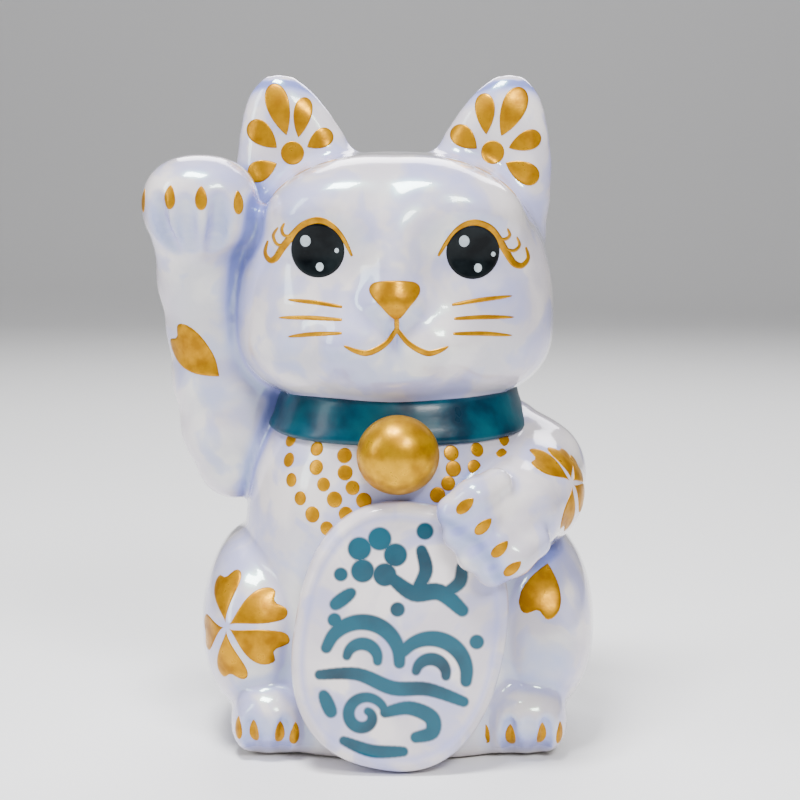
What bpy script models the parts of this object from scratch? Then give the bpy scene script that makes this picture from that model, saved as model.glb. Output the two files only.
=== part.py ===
"""Seated cat with one paw raised: a slip-cast ceramic coin bank, 180 mm tall.

The clay members that are luted together before firing are separate solids, a slip line
apart. Metres, +Z up. The cat looks along -Y, and the origin lies on the standing surface,
under the middle of the whole outline. Places are measured from the cat's own middle plane.
"""

import math

import bmesh
import bpy
from mathutils import Vector

MM = 0.001

# Clay: the cast wall, and the slip line that keeps two luted members apart.
WALL = 3.5 * MM
SLIP_LINE = 0.3 * MM

# Torso: floor to the rim of the neck, and its reach from the middle plane at the widest.
TORSO_HEIGHT = 99 * MM
TORSO_SIDE = 44.5 * MM
TORSO_FRONT = 39 * MM
TORSO_BACK = 45 * MM
NECK_SIDE = 30.5 * MM
NECK_FRONT = 31 * MM
NECK_BACK = 30 * MM
TORSO_POWER = 2.3

# Haunches: lobes of the torso casting, one on each side.
HAUNCH_OUT = 38 * MM
HAUNCH_LEVEL = 31 * MM
HAUNCH_SIDE = 16 * MM
HAUNCH_FRONT = 32 * MM
HAUNCH_BACK = 34 * MM
HAUNCH_UP = 26 * MM
HAUNCH_DOWN = 25 * MM

# Underside: foot rim, recess, and the hole that the stopper closes.
RIM_WIDTH = 7 * MM
RECESS_DEPTH = 3 * MM
HOLE_RADIUS = 15 * MM
HOLE_BACK = 3 * MM

# Coin slot across the upper back.
SLOT_WIDTH = 36 * MM
SLOT_HEIGHT = 5 * MM
SLOT_BELOW_NECK = 29 * MM

# Head: its widest level above the neck rim, and its reach each way from there.
HEAD_RISE = 16 * MM
HEAD_SHIFT = -1 * MM
HEAD_FORWARD = 2 * MM
HEAD_SIDE = 43.3 * MM
HEAD_FRONT = 37.5 * MM
HEAD_BACK = 36 * MM
HEAD_UP = 44.3 * MM
HEAD_DOWN = 24 * MM
HEAD_MOUTH_SIDE = 26.5 * MM
MUZZLE_SIDE = 19 * MM
MUZZLE_HEIGHT = 13 * MM
MUZZLE_BEYOND_FACE = 3 * MM
MUZZLE_DROP = 2 * MM

# Ears: spread of the tips, tip height above the crown, and the size at the root.
EAR_TIP_OUT = 33 * MM
EAR_TIP_RISE = 20.7 * MM
EAR_ROOT_OUT = 25.5 * MM
EAR_ROOT_DROP = 24 * MM
EAR_ROOT_WIDTH = 19 * MM
EAR_ROOT_DEPTH = 9 * MM
EAR_TIP_DEPTH = 3 * MM
EAR_BACK = 5 * MM

# Raised arm and its paw.
ARM_ELBOW_DROP = 24 * MM
ARM_ELBOW_OUT = 47.5 * MM
ARM_WRIST_OUT = 55 * MM
ARM_RADIUS = 12 * MM
ARM_DEEPER = 1 * MM
RAISED_PAW_OUT = 52 * MM
RAISED_PAW_RISE = 30 * MM
RAISED_PAW_FORWARD = 15.5 * MM
RAISED_PAW_SIDE = 15.5 * MM
RAISED_PAW_DEPTH = 15 * MM
RAISED_PAW_HEIGHT = 13.5 * MM

# Lowered arm, from the shoulder over the elbow to the paw on the plaque.
SHOULDER_OUT = 26.5 * MM
SHOULDER_DROP = 20 * MM
ELBOW_OUT = 33 * MM
ELBOW_DROP = 28 * MM
ELBOW_RADIUS = 16.5 * MM
ELBOW_AHEAD = 6 * MM
FOREARM_DROP = 3 * MM
LOWERED_PAW_OUT = 20 * MM
LOWERED_PAW_DROP = 36 * MM
LOWERED_PAW_RADIUS = 13 * MM
LOWERED_PAW_OVER_PLAQUE = 5 * MM

# Oval plaque held against the chest.
PLAQUE_SIDE = 27.2 * MM
PLAQUE_HEIGHT = 35 * MM
PLAQUE_PROUD = 7 * MM
PLAQUE_BEHIND = 12 * MM
PLAQUE_RIM = 3.5 * MM
PLAQUE_DISH = 0.8 * MM
PLAQUE_BEVEL = 3 * MM
PLAQUE_LIFT = 2.0 * MM
PLAQUE_TILT = math.radians(11)
PLAQUE_LEAN = math.radians(4)
PLAQUE_OUT = 0.5 * MM

# Collar and bell.
COLLAR_THICK = 3 * MM
COLLAR_HEIGHT = 11 * MM
COLLAR_DROP = 8 * MM
COLLAR_FRONT_EASE = 1 * MM
COLLAR_DIP = math.radians(4.5)
BELL_RADIUS = 10.6 * MM
BELL_RISE = 10.1 * MM
BELL_DEPTH = 9 * MM
BELL_DROP = 16 * MM
BELL_SUNK = 3 * MM

# Hind feet.
FOOT_OUT = 34.5 * MM
FOOT_SIDE = 11.5 * MM
FOOT_AHEAD = 24 * MM
FOOT_FRONT = 15.5 * MM
FOOT_BACK = 14 * MM
FOOT_RISE = 12.5 * MM
FOOT_LEVEL = 8.5 * MM
FOOT_OFF_FLOOR = 0.6 * MM

# Tail, in relief up the back.
TAIL_RADIUS = 6.5 * MM
TAIL_TIP_RADIUS = 4.5 * MM
TAIL_PROUD = 1 * MM

# The tail's route from its root beside the rump, along the base and up the spine: distance
# from the middle and height, then shares of the torso's back reach and of the tail's radius.
TAIL_ROUTE = [
    (28 * MM, 10 * MM, 0.80, 1.0),
    (21 * MM, 11 * MM, 0.92, 1.02),
    (13 * MM, 14 * MM, 0.985, 1.0),
    (6 * MM, 20 * MM, 1.0, 0.96),
    (3 * MM, 28 * MM, 1.0, 0.9),
    (4 * MM, 36 * MM, 0.985, 0.8),
    (8 * MM, 42 * MM, 0.96, 0.7),
]

# Stopper: a cupped plug with a flange that lies in the recess.
STOPPER_LAP = 3 * MM
STOPPER_FLANGE_THICK = 1.8 * MM
STOPPER_WALL = 2.2 * MM
STOPPER_LENGTH = 9 * MM
STOPPER_TAPER = 0.7 * MM
STOPPER_EDGE = 0.5 * MM
STOPPER_STEP = 0.1 * MM

# Fineness of the forms.
TORSO_SEGMENTS = 44
EGG_SEGMENTS = 28
EGG_RINGS = 12
LIMB_SEGMENTS = 20
LIMB_END_RINGS = 3

# Places that several members share.
HEAD_LEVEL = TORSO_HEIGHT + HEAD_RISE
CROWN = HEAD_LEVEL + HEAD_UP
PLAQUE_LEVEL = PLAQUE_LIFT + PLAQUE_HEIGHT * math.cos(PLAQUE_TILT)
PLAQUE_FACE = TORSO_FRONT + PLAQUE_PROUD
COLLAR_LEVEL = TORSO_HEIGHT - COLLAR_DROP
BELL_LEVEL = TORSO_HEIGHT - BELL_DROP
FLOOR_TOP = RECESS_DEPTH + WALL
LOWERED_PAW_AHEAD = PLAQUE_FACE + LOWERED_PAW_OVER_PLAQUE - LOWERED_PAW_RADIUS

# Torso outline: share of the height, then the share of the way from torso to neck width
# that each reach has gone. The two lowest rows round the bottom edge.
TORSO_OUTLINE = [
    (0.0, 0.18, 0.60, 0.40),
    (0.01, 0.05, 0.35, 0.26),
    (0.03, 0.0, 0.22, 0.20),
    (0.13, -0.03, 0.10, 0.10),
    (0.32, 0.03, 0.0, 0.0),
    (0.50, 0.10, 0.0, 0.10),
    (0.65, 0.20, 0.06, 0.24),
    (0.77, 0.36, 0.20, 0.44),
    (0.85, 0.60, 0.50, 0.68),
    (0.90, 0.84, 0.76, 0.86),
    (0.95, 0.97, 0.94, 0.97),
    (1.0, 1.0, 1.0, 1.0),
]


def clear_scene():
    for thing in list(bpy.data.objects):
        bpy.data.objects.remove(thing)


def finish_material(name, colour, roughness, metallic=0.0):
    material = bpy.data.materials.new(name)
    material.use_nodes = True
    shader = material.node_tree.nodes["Principled BSDF"]
    shader.inputs["Base Color"].default_value = (*colour, 1.0)
    shader.inputs["Roughness"].default_value = roughness
    shader.inputs["Metallic"].default_value = metallic
    return material


def oval(side, front, back, power, count):
    """Points (x, y) round a superellipse whose front (-Y) and back differ in depth."""
    points = []
    for step in range(count):
        angle = 2 * math.pi * step / count
        across = math.cos(angle)
        along = math.sin(angle)
        x = side * math.copysign(abs(across) ** (2 / power), across)
        y = math.copysign(abs(along) ** (2 / power), along)
        points.append((x, y * (back if y > 0 else front)))
    return points


def ring_mesh(name, rings, low_tip=None, high_tip=None):
    """A closed mesh over rings of equal count. An end without a tip gets a flat cap."""
    count = len(rings[0])
    points = [point for ring in rings for point in ring]
    faces = []
    for level in range(len(rings) - 1):
        for step in range(count):
            here = level * count + step
            beside = level * count + (step + 1) % count
            faces.append((here, beside, beside + count, here + count))
    for tip, start in ((low_tip, 0), (high_tip, (len(rings) - 1) * count)):
        loop = [start + step for step in range(count)]
        if tip is None:
            faces.append(loop)
            continue
        points.append(tip)
        hub = len(points) - 1
        faces.extend((loop[step - 1], loop[step], hub) for step in range(count))
    mesh = bpy.data.meshes.new(name)
    mesh.from_pydata([tuple(point) for point in points], [], faces)
    shell = bmesh.new()
    shell.from_mesh(mesh)
    bmesh.ops.recalc_face_normals(shell, faces=shell.faces)
    shell.to_mesh(mesh)
    shell.free()
    mesh.shade_smooth()
    return mesh


def stack_mesh(name, levels, power, count):
    """A form piled up from ovals: each level is (height, side, front, back, middle x, y)."""
    rings = []
    for height, side, front, back, middle_x, middle_y in levels:
        outline = oval(side, front, back, power, count)
        rings.append([(middle_x + x, middle_y + y, height) for x, y in outline])
    return ring_mesh(name, rings)


def egg_mesh(name, side, front, back, up, down, round_power=2.2, up_power=2.2, down_power=2.2):
    """A rounded lump about its own widest level, with its own reach each way."""
    rings = []
    for level in range(1, EGG_RINGS):
        angle = math.pi * (level / EGG_RINGS - 0.5)
        power = up_power if angle > 0 else down_power
        reach = up if angle > 0 else down
        height = math.copysign(abs(math.sin(angle)) ** (2 / power), angle) * reach
        narrow = math.cos(angle) ** (2 / power)
        outline = oval(side, front, back, round_power, EGG_SEGMENTS)
        rings.append([(x * narrow, y * narrow, height) for x, y in outline])
    return ring_mesh(name, rings, (0, 0, -down), (0, 0, up))


def limb_mesh(name, stations, grow=0.0):
    """A tapered tube with round ends. Each station is (centre, half width, half depth)."""
    stations = [(Vector(at), across + grow, deep + grow) for at, across, deep in stations]
    rings = []
    tips = []
    last = len(stations) - 1
    for index, (centre, across, deep) in enumerate(stations):
        ahead = stations[min(index + 1, last)][0] - stations[max(index - 1, 0)][0]
        ahead.normalize()
        side = Vector((1, 0, 0)) - ahead * ahead.x
        side.normalize()
        up = ahead.cross(side)
        radius = (across + deep) / 2
        turns = [0]
        if index == 0:
            turns = [-step * 90 / LIMB_END_RINGS for step in range(LIMB_END_RINGS - 1, -1, -1)]
            tips.append(centre - ahead * radius)
        if index == last:
            turns = [step * 90 / LIMB_END_RINGS for step in range(LIMB_END_RINGS)]
            tips.append(centre + ahead * radius)
        for turn in turns:
            narrow = math.cos(math.radians(turn))
            middle = centre + ahead * radius * math.sin(math.radians(turn))
            ring = []
            for step in range(LIMB_SEGMENTS):
                angle = 2 * math.pi * step / LIMB_SEGMENTS
                out = side * across * math.cos(angle) + up * deep * math.sin(angle)
                ring.append(middle + out * narrow)
            rings.append(ring)
    return ring_mesh(name, rings, tips[0], tips[1])


def place(mesh, location=(0, 0, 0), rotation=(0, 0, 0)):
    thing = bpy.data.objects.new(mesh.name, mesh)
    bpy.context.scene.collection.objects.link(thing)
    thing.parent = body_middle
    thing.location = location
    thing.rotation_euler = rotation
    return thing


def helper(mesh, location=(0, 0, 0), rotation=(0, 0, 0)):
    """A shape that only cuts or joins: no render, drawn as wires."""
    thing = place(mesh, location, rotation)
    thing.hide_render = True
    thing.display_type = "WIRE"
    return thing


def work(target, operation, helpers):
    for other in helpers:
        step = target.modifiers.new(operation.lower() + "_" + other.name, "BOOLEAN")
        step.operation = operation
        step.solver = "EXACT"
        step.object = other


def join(target, *helpers):
    work(target, "UNION", helpers)


def cut(target, *helpers):
    work(target, "DIFFERENCE", helpers)


def paint(thing, material):
    thing.data.materials.append(material)


def torso_levels(grow, low, high):
    """Levels of the torso form between two heights, all reaches grown."""
    levels = []
    for share, side_share, front_share, back_share in TORSO_OUTLINE:
        height = share * TORSO_HEIGHT
        if height <= low:
            height = low
            levels.clear()
        side = TORSO_SIDE + (NECK_SIDE - TORSO_SIDE) * side_share + grow
        front = TORSO_FRONT + (NECK_FRONT - TORSO_FRONT) * front_share + grow
        back = TORSO_BACK + (NECK_BACK - TORSO_BACK) * back_share + grow
        levels.append((height, side, front, back, 0, 0))
    top = list(levels[-1])
    top[0] = high
    if high > levels[-1][0]:
        levels.append(tuple(top))
    return levels


def torso_form(name, grow=0.0, low=0.0, high=TORSO_HEIGHT):
    return stack_mesh(name, torso_levels(grow, low, high), TORSO_POWER, TORSO_SEGMENTS)


def haunch_form(name, grow=0.0):
    return egg_mesh(
        name,
        HAUNCH_SIDE + grow,
        HAUNCH_FRONT + grow,
        HAUNCH_BACK + grow,
        HAUNCH_UP + grow,
        HAUNCH_DOWN + grow,
    )


def haunch_place(side):
    return (side * HAUNCH_OUT, 0, HAUNCH_LEVEL)


def torso_helpers(grow):
    """The solid torso with its haunches, grown, to cut members that are luted on."""
    high = TORSO_HEIGHT + grow
    return [
        helper(torso_form("torso_block", grow, -grow, high)),
        helper(haunch_form("left_haunch_block", grow), haunch_place(-1)),
        helper(haunch_form("right_haunch_block", grow), haunch_place(1)),
    ]


def round_mesh(name, rings):
    """A turned solid: each ring is (radius, height), bottom to top, flat at both ends."""
    levels = [(height, radius, radius, radius, 0, 0) for radius, height in rings]
    return stack_mesh(name, levels, 2, TORSO_SEGMENTS)


def make_torso(material):
    torso = place(torso_form("torso_shell"))
    paint(torso, material)
    outer = [helper(haunch_form("haunch_out"), haunch_place(side)) for side in (-1, 1)]
    join(torso, *outer)
    hollow = helper(torso_form("torso_hollow", -WALL, FLOOR_TOP, TORSO_HEIGHT + WALL))
    inner = [helper(haunch_form("haunch_in", -WALL), haunch_place(side)) for side in (-1, 1)]
    rim_levels = torso_levels(-RIM_WIDTH, 0, TORSO_HEIGHT)
    recess_outline = rim_levels[2][1:]
    recess_levels = [(-RECESS_DEPTH, *recess_outline), (RECESS_DEPTH, *recess_outline)]
    recess = helper(stack_mesh("recess", recess_levels, TORSO_POWER, TORSO_SEGMENTS))
    hole_rings = [(HOLE_RADIUS, -WALL), (HOLE_RADIUS, FLOOR_TOP + WALL)]
    hole = helper(round_mesh("stopper_hole", hole_rings), (0, HOLE_BACK, 0))
    slot_levels = [
        (edge * SLOT_HEIGHT / 2, SLOT_WIDTH / 2, WALL * 4, WALL * 4, 0, 0) for edge in (-1, 1)
    ]
    slot_place = (0, TORSO_BACK - WALL * 1.5, TORSO_HEIGHT - SLOT_BELOW_NECK)
    slot = helper(stack_mesh("coin_slot", slot_levels, 8, TORSO_SEGMENTS), slot_place)
    cut(torso, hollow, *inner, recess, hole, slot)
    return torso


def head_form(name, grow=0.0):
    return egg_mesh(
        name,
        HEAD_SIDE + grow,
        HEAD_FRONT + grow,
        HEAD_BACK + grow,
        HEAD_UP + grow,
        HEAD_DOWN + grow,
        round_power=2.3,
        up_power=2.4,
        down_power=2.9,
    )


HEAD_PLACE = (HEAD_SHIFT, -HEAD_FORWARD, HEAD_LEVEL)
MUZZLE_AHEAD = HEAD_FORWARD + HEAD_FRONT + MUZZLE_BEYOND_FACE - HEAD_MOUTH_SIDE / 2
MUZZLE_PLACE = (HEAD_SHIFT, -MUZZLE_AHEAD, HEAD_LEVEL - MUZZLE_DROP)


def muzzle_form(name, grow=0.0):
    reach = HEAD_MOUTH_SIDE / 2 + grow
    rise = MUZZLE_HEIGHT + grow
    return egg_mesh(name, MUZZLE_SIDE + grow, reach, reach, rise, rise)


def head_helpers(grow):
    return [
        helper(head_form("head_block", grow), HEAD_PLACE),
        helper(muzzle_form("muzzle_block", grow), MUZZLE_PLACE),
    ]


def make_head(material, torso_block):
    head = place(head_form("head_shell"), HEAD_PLACE)
    paint(head, material)
    join(head, helper(muzzle_form("muzzle_out"), MUZZLE_PLACE))
    hollow = helper(head_form("head_hollow", -WALL), HEAD_PLACE)
    cut(head, hollow, torso_block)
    return head


def ear_mesh(name, side):
    """An ear: a slim blade that narrows and leans out to a rounded tip."""
    root = CROWN - EAR_ROOT_DROP
    rise = EAR_TIP_RISE + EAR_ROOT_DROP
    rows = [
        (0.0, 0.80, 1.0, 0.0),
        (0.16, 0.96, 0.95, 0.04),
        (0.32, 0.99, 0.85, 0.10),
        (0.52, 0.92, 0.65, 0.20),
        (0.68, 0.77, 0.40, 0.38),
        (0.81, 0.58, 0.20, 0.62),
        (0.92, 0.34, 0.06, 0.88),
        (0.97, 0.21, 0.0, 0.97),
        (1.0, 0.06, 0.0, 1.0),
    ]
    levels = []
    for share, width, deep, out in rows:
        middle = EAR_ROOT_OUT + (EAR_TIP_OUT - EAR_ROOT_OUT) * out
        depth = EAR_TIP_DEPTH * width ** 0.5 + (EAR_ROOT_DEPTH - EAR_TIP_DEPTH) * deep
        half = EAR_ROOT_WIDTH * width
        levels.append((root + rise * share, half, depth, depth, side * middle, 0))
    return stack_mesh(name, levels, 2.2, LIMB_SEGMENTS + 4)


def raised_paw_form(name, grow=0.0):
    side = RAISED_PAW_SIDE + grow
    depth = RAISED_PAW_DEPTH + grow
    height = RAISED_PAW_HEIGHT + grow
    return egg_mesh(name, side, depth, depth, height, height)


def raised_arm_stations():
    elbow = TORSO_HEIGHT - ARM_ELBOW_DROP
    paw = HEAD_LEVEL + RAISED_PAW_RISE
    rows = [
        (0.0, 0.0, 0.0, 0.90),
        (0.14, 0.14, 0.0, 1.02),
        (0.36, 0.50, 0.06, 1.0),
        (0.58, 0.80, 0.22, 0.98),
        (0.78, 1.0, 0.44, 1.0),
        (0.93, 0.92, 0.75, 0.95),
    ]
    stations = []
    for share, out, ahead, thick in rows:
        x = ARM_ELBOW_OUT + (ARM_WRIST_OUT - ARM_ELBOW_OUT) * out
        at = (-x, -RAISED_PAW_FORWARD * ahead, elbow + (paw - elbow) * share)
        stations.append((at, ARM_RADIUS * thick, ARM_RADIUS * thick + ARM_DEEPER))
    return stations


RAISED_PAW_PLACE = (-RAISED_PAW_OUT, -RAISED_PAW_FORWARD, HEAD_LEVEL + RAISED_PAW_RISE)


def make_raised_arm(material, blocks):
    arm = place(limb_mesh("raised_arm", raised_arm_stations()))
    paint(arm, material)
    join(arm, helper(raised_paw_form("raised_paw"), RAISED_PAW_PLACE))
    cut(arm, *blocks)
    return arm


def make_lowered_arm(material, blocks):
    forearm_level = TORSO_HEIGHT - ELBOW_DROP - FOREARM_DROP
    paw_level = TORSO_HEIGHT - LOWERED_PAW_DROP
    wrist_out = (LOWERED_PAW_OUT + ELBOW_OUT) / 2
    wrist_level = (forearm_level + paw_level) / 2
    rows = [
        (SHOULDER_OUT, 0, TORSO_HEIGHT - SHOULDER_DROP, ELBOW_RADIUS * 0.92),
        (ELBOW_OUT, -ELBOW_AHEAD, TORSO_HEIGHT - ELBOW_DROP, ELBOW_RADIUS),
        (ELBOW_OUT, -LOWERED_PAW_AHEAD * 0.58, forearm_level, ELBOW_RADIUS * 0.97),
        (wrist_out, -LOWERED_PAW_AHEAD * 0.86, wrist_level, ELBOW_RADIUS * 0.93),
        (LOWERED_PAW_OUT, -LOWERED_PAW_AHEAD, paw_level, LOWERED_PAW_RADIUS),
    ]
    stations = [((x, y, z), radius, radius) for x, y, z, radius in rows]
    arm = place(limb_mesh("lowered_arm", stations))
    paint(arm, material)
    cut(arm, *blocks)
    return arm


def plaque_form(name, grow=0.0):
    """An oval tablet about the middle of its face: a rim, a shallow dish, a plain edge."""
    rim = (PLAQUE_SIDE - PLAQUE_RIM) / PLAQUE_SIDE
    rows = [
        (rim - 0.03, PLAQUE_DISH - grow, -grow),
        (rim, -grow, -grow),
        (0.96, -grow, grow),
        (0.99, PLAQUE_BEVEL / 3 - grow, grow),
        (1.0, PLAQUE_BEVEL - grow, grow),
        (1.0, PLAQUE_BEHIND + grow, grow),
    ]
    rings = []
    for share, depth, spread in rows:
        side = PLAQUE_SIDE * share + spread
        height = PLAQUE_HEIGHT * share + spread
        outline = oval(side, height, height, 2.15, TORSO_SEGMENTS)
        rings.append([(x, depth, z) for x, z in outline])
    return ring_mesh(name, rings, (0, PLAQUE_DISH - grow, 0), (0, PLAQUE_BEHIND + grow, 0))


PLAQUE_PLACE = (PLAQUE_OUT, -PLAQUE_FACE, PLAQUE_LEVEL)
PLAQUE_TURN = (-PLAQUE_LEAN, PLAQUE_TILT, 0)


def collar_form(name, grow=0.0):
    half = COLLAR_HEIGHT / 2 + grow
    rows = [(-1.0, 0.35), (-0.93, 0.75), (-0.7, 1.0), (0.7, 1.0), (0.93, 0.75), (1.0, 0.35)]
    levels = []
    for share, proud in rows:
        out = COLLAR_THICK * proud + grow
        front = NECK_FRONT + COLLAR_FRONT_EASE + out
        levels.append((half * share, NECK_SIDE + out, front, NECK_BACK + out, 0, 0))
    return stack_mesh(name, levels, TORSO_POWER, TORSO_SEGMENTS)


COLLAR_PLACE = (0, 0, COLLAR_LEVEL)
COLLAR_TURN = (COLLAR_DIP, 0, 0)


def bell_form(name, grow=0.0):
    side = BELL_RADIUS + grow
    depth = BELL_DEPTH + grow
    rise = BELL_RISE + grow
    return egg_mesh(name, side, depth, depth, rise, rise, 2, 2, 2)


BELL_PLACE = (0, BELL_SUNK - BELL_DEPTH - COLLAR_THICK - NECK_FRONT, BELL_LEVEL)


def foot_form(name, grow=0.0):
    down = FOOT_LEVEL - FOOT_OFF_FLOOR
    front = FOOT_FRONT + grow
    back = FOOT_BACK + grow
    side = FOOT_SIDE + grow
    return egg_mesh(name, side, front, back, FOOT_RISE + grow, down + grow, 2.4, 2.3, 2.8)


def tail_stations():
    back = TORSO_BACK + TAIL_PROUD
    stations = []
    for out, height, share, thick in TAIL_ROUTE:
        radius = TAIL_RADIUS * thick
        at = (out, back * share - TAIL_TIP_RADIUS * 0.4, height)
        stations.append((at, radius, radius))
    return stations


def make_tail(material, blocks):
    tail = place(limb_mesh("tail", tail_stations()))
    paint(tail, material)
    cut(tail, *blocks)
    return tail


def make_stopper(material):
    """A plug on the hole's axis: flange below, tapered cup above, open from below."""
    body_radius = HOLE_RADIUS - SLIP_LINE
    flange_radius = HOLE_RADIUS + STOPPER_LAP
    flange_top = RECESS_DEPTH - SLIP_LINE
    flange_low = flange_top - STOPPER_FLANGE_THICK
    top = flange_low + STOPPER_LENGTH
    rings = [
        (flange_radius - STOPPER_EDGE, flange_low),
        (flange_radius, flange_low + STOPPER_EDGE),
        (flange_radius, flange_top - STOPPER_EDGE),
        (flange_radius - STOPPER_EDGE, flange_top),
        (body_radius, flange_top + STOPPER_STEP),
        (body_radius, flange_top + WALL),
        (body_radius - STOPPER_TAPER, top - STOPPER_EDGE),
        (body_radius - STOPPER_TAPER - STOPPER_EDGE, top),
    ]
    stopper = place(round_mesh("base_stopper", rings), (0, HOLE_BACK, 0))
    paint(stopper, material)
    cup = body_radius - STOPPER_TAPER - STOPPER_WALL
    cup_rings = [(cup + STOPPER_TAPER, -flange_low), (cup, top - STOPPER_WALL)]
    cut(stopper, helper(round_mesh("stopper_cup", cup_rings), (0, HOLE_BACK, 0)))
    return stopper


def centre_over_origin(nodes):
    """Moves the cat's middle so that the whole outline is centred over the origin."""
    bpy.context.view_layer.update()
    graph = bpy.context.evaluated_depsgraph_get()
    corners = []
    for node in nodes:
        shown = node.evaluated_get(graph)
        corners.extend(shown.matrix_world @ vertex.co for vertex in shown.data.vertices)
    for axis in (0, 1):
        low = min(corner[axis] for corner in corners)
        high = max(corner[axis] for corner in corners)
        body_middle.location[axis] = -(low + high) / 2


def build():
    white = finish_material("pearl_white_glaze", (0.74, 0.72, 0.78), 0.12)
    teal = finish_material("teal_glaze", (0.01, 0.10, 0.16), 0.15)
    gold = finish_material("gold_paint", (0.62, 0.34, 0.02), 0.3, 0.8)
    rubber = finish_material("soft_white_plastic", (0.62, 0.60, 0.56), 0.55)

    torso_blocks = torso_helpers(SLIP_LINE)
    head_blocks = head_helpers(SLIP_LINE)
    torso = make_torso(white)
    head = make_head(white, torso_blocks[0])

    plaque = place(plaque_form("plaque"), PLAQUE_PLACE, PLAQUE_TURN)
    paint(plaque, white)
    cut(plaque, *torso_blocks)
    plaque_block = helper(plaque_form("plaque_block", SLIP_LINE), PLAQUE_PLACE, PLAQUE_TURN)

    collar = place(collar_form("collar"), COLLAR_PLACE, COLLAR_TURN)
    paint(collar, teal)
    cut(collar, torso_blocks[0], *head_blocks)
    collar_block = helper(collar_form("collar_block", SLIP_LINE), COLLAR_PLACE, COLLAR_TURN)

    bell = place(bell_form("bell"), BELL_PLACE)
    paint(bell, gold)
    cut(bell, torso_blocks[0], *head_blocks, collar_block, plaque_block)

    raised = make_raised_arm(white, [*torso_blocks, *head_blocks, collar_block])
    raised_blocks = [
        helper(raised_paw_form("raised_paw_block", SLIP_LINE), RAISED_PAW_PLACE),
        helper(limb_mesh("raised_arm_block", raised_arm_stations(), SLIP_LINE)),
    ]
    bell_block = helper(bell_form("bell_block", SLIP_LINE), BELL_PLACE)
    lowered_blocks = [*torso_blocks, *head_blocks, collar_block, plaque_block, bell_block]
    lowered = make_lowered_arm(white, lowered_blocks)

    nodes = [torso, head, plaque, collar, bell, raised, lowered]
    for side, name in ((-1, "left"), (1, "right")):
        ear = place(ear_mesh(name + "_ear", side), (HEAD_SHIFT, EAR_BACK, 0))
        paint(ear, white)
        cut(ear, *head_blocks, *raised_blocks)
        foot_place = (side * FOOT_OUT, -FOOT_AHEAD, FOOT_LEVEL)
        foot = place(foot_form(name + "_hind_foot"), foot_place)
        paint(foot, white)
        cut(foot, *torso_blocks, plaque_block)
        nodes.extend([ear, foot])

    nodes.append(make_tail(white, torso_blocks))
    nodes.append(make_stopper(rubber))
    centre_over_origin(nodes)


clear_scene()
body_middle = bpy.data.objects.new("body_middle", None)
bpy.context.scene.collection.objects.link(body_middle)
build()
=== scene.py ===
import math

import bmesh
import bpy
import numpy as np
from mathutils import Matrix, Vector
from mathutils.bvhtree import BVHTree


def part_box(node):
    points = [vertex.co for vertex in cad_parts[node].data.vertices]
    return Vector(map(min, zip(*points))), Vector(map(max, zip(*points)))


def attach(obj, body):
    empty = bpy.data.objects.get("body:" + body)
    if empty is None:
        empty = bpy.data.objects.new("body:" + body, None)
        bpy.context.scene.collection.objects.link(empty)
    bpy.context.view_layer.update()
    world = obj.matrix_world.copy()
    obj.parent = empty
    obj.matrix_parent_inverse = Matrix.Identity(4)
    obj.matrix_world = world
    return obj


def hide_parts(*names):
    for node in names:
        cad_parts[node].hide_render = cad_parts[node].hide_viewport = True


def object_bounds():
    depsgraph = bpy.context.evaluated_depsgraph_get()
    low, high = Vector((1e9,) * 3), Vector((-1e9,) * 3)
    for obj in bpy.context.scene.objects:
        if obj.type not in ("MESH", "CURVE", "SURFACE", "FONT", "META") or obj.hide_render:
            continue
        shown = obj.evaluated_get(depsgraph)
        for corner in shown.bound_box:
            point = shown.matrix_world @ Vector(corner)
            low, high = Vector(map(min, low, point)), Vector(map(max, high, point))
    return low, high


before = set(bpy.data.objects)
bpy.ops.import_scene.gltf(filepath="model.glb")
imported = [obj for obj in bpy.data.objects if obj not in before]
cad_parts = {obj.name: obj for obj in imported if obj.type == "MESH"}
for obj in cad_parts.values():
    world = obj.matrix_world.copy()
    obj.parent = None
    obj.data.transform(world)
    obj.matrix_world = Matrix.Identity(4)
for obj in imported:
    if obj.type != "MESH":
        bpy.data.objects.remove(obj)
cad_box = [list(corner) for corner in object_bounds()]

# ------------------------------------------------------------
# Studio: a pale sweep of floor, three soft panels and a camera at the height of the ears.
# The cat stands free, so everything is placed from the box of the whole figure.
# ------------------------------------------------------------

MM = 0.001
CAMERA_DISTANCE = 500 * MM
CAMERA_HEIGHT = 158.8 * MM
CAMERA_DOWN = math.radians(7.69)
CAMERA_LENS = 82.3
CAMERA_SHIFT = -0.0026

torso_low, torso_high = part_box("torso_shell")
cat_middle = (torso_low.x + torso_high.x) / 2


def put(name, data):
    """An object that holds the data, linked into the scene."""
    thing = bpy.data.objects.new(name, data)
    bpy.context.scene.collection.objects.link(thing)
    return thing


def mesh_object(name, points, faces, marks=None):
    """A smooth object from points and faces, with a value per point where given."""
    points, faces = (part.tolist() if isinstance(part, np.ndarray) else part for part in (points, faces))
    mesh = bpy.data.meshes.new(name)
    mesh.from_pydata(points, [], faces)
    mesh.shade_smooth()
    for key, values in (marks or {}).items():
        layer = mesh.attributes.new(key, "FLOAT", "POINT")
        layer.data.foreach_set("value", np.asarray(values, np.float32))
    return put(name, mesh)


camera_data = bpy.data.cameras.new("camera")
camera_data.lens = CAMERA_LENS
camera_data.sensor_width = 36
camera_data.shift_x = -CAMERA_SHIFT
camera = put("camera", camera_data)
camera.location = (cat_middle, -CAMERA_DISTANCE, CAMERA_HEIGHT)
camera.rotation_euler = (math.pi / 2 - CAMERA_DOWN, 0, 0)
bpy.context.scene.camera = camera


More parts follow.
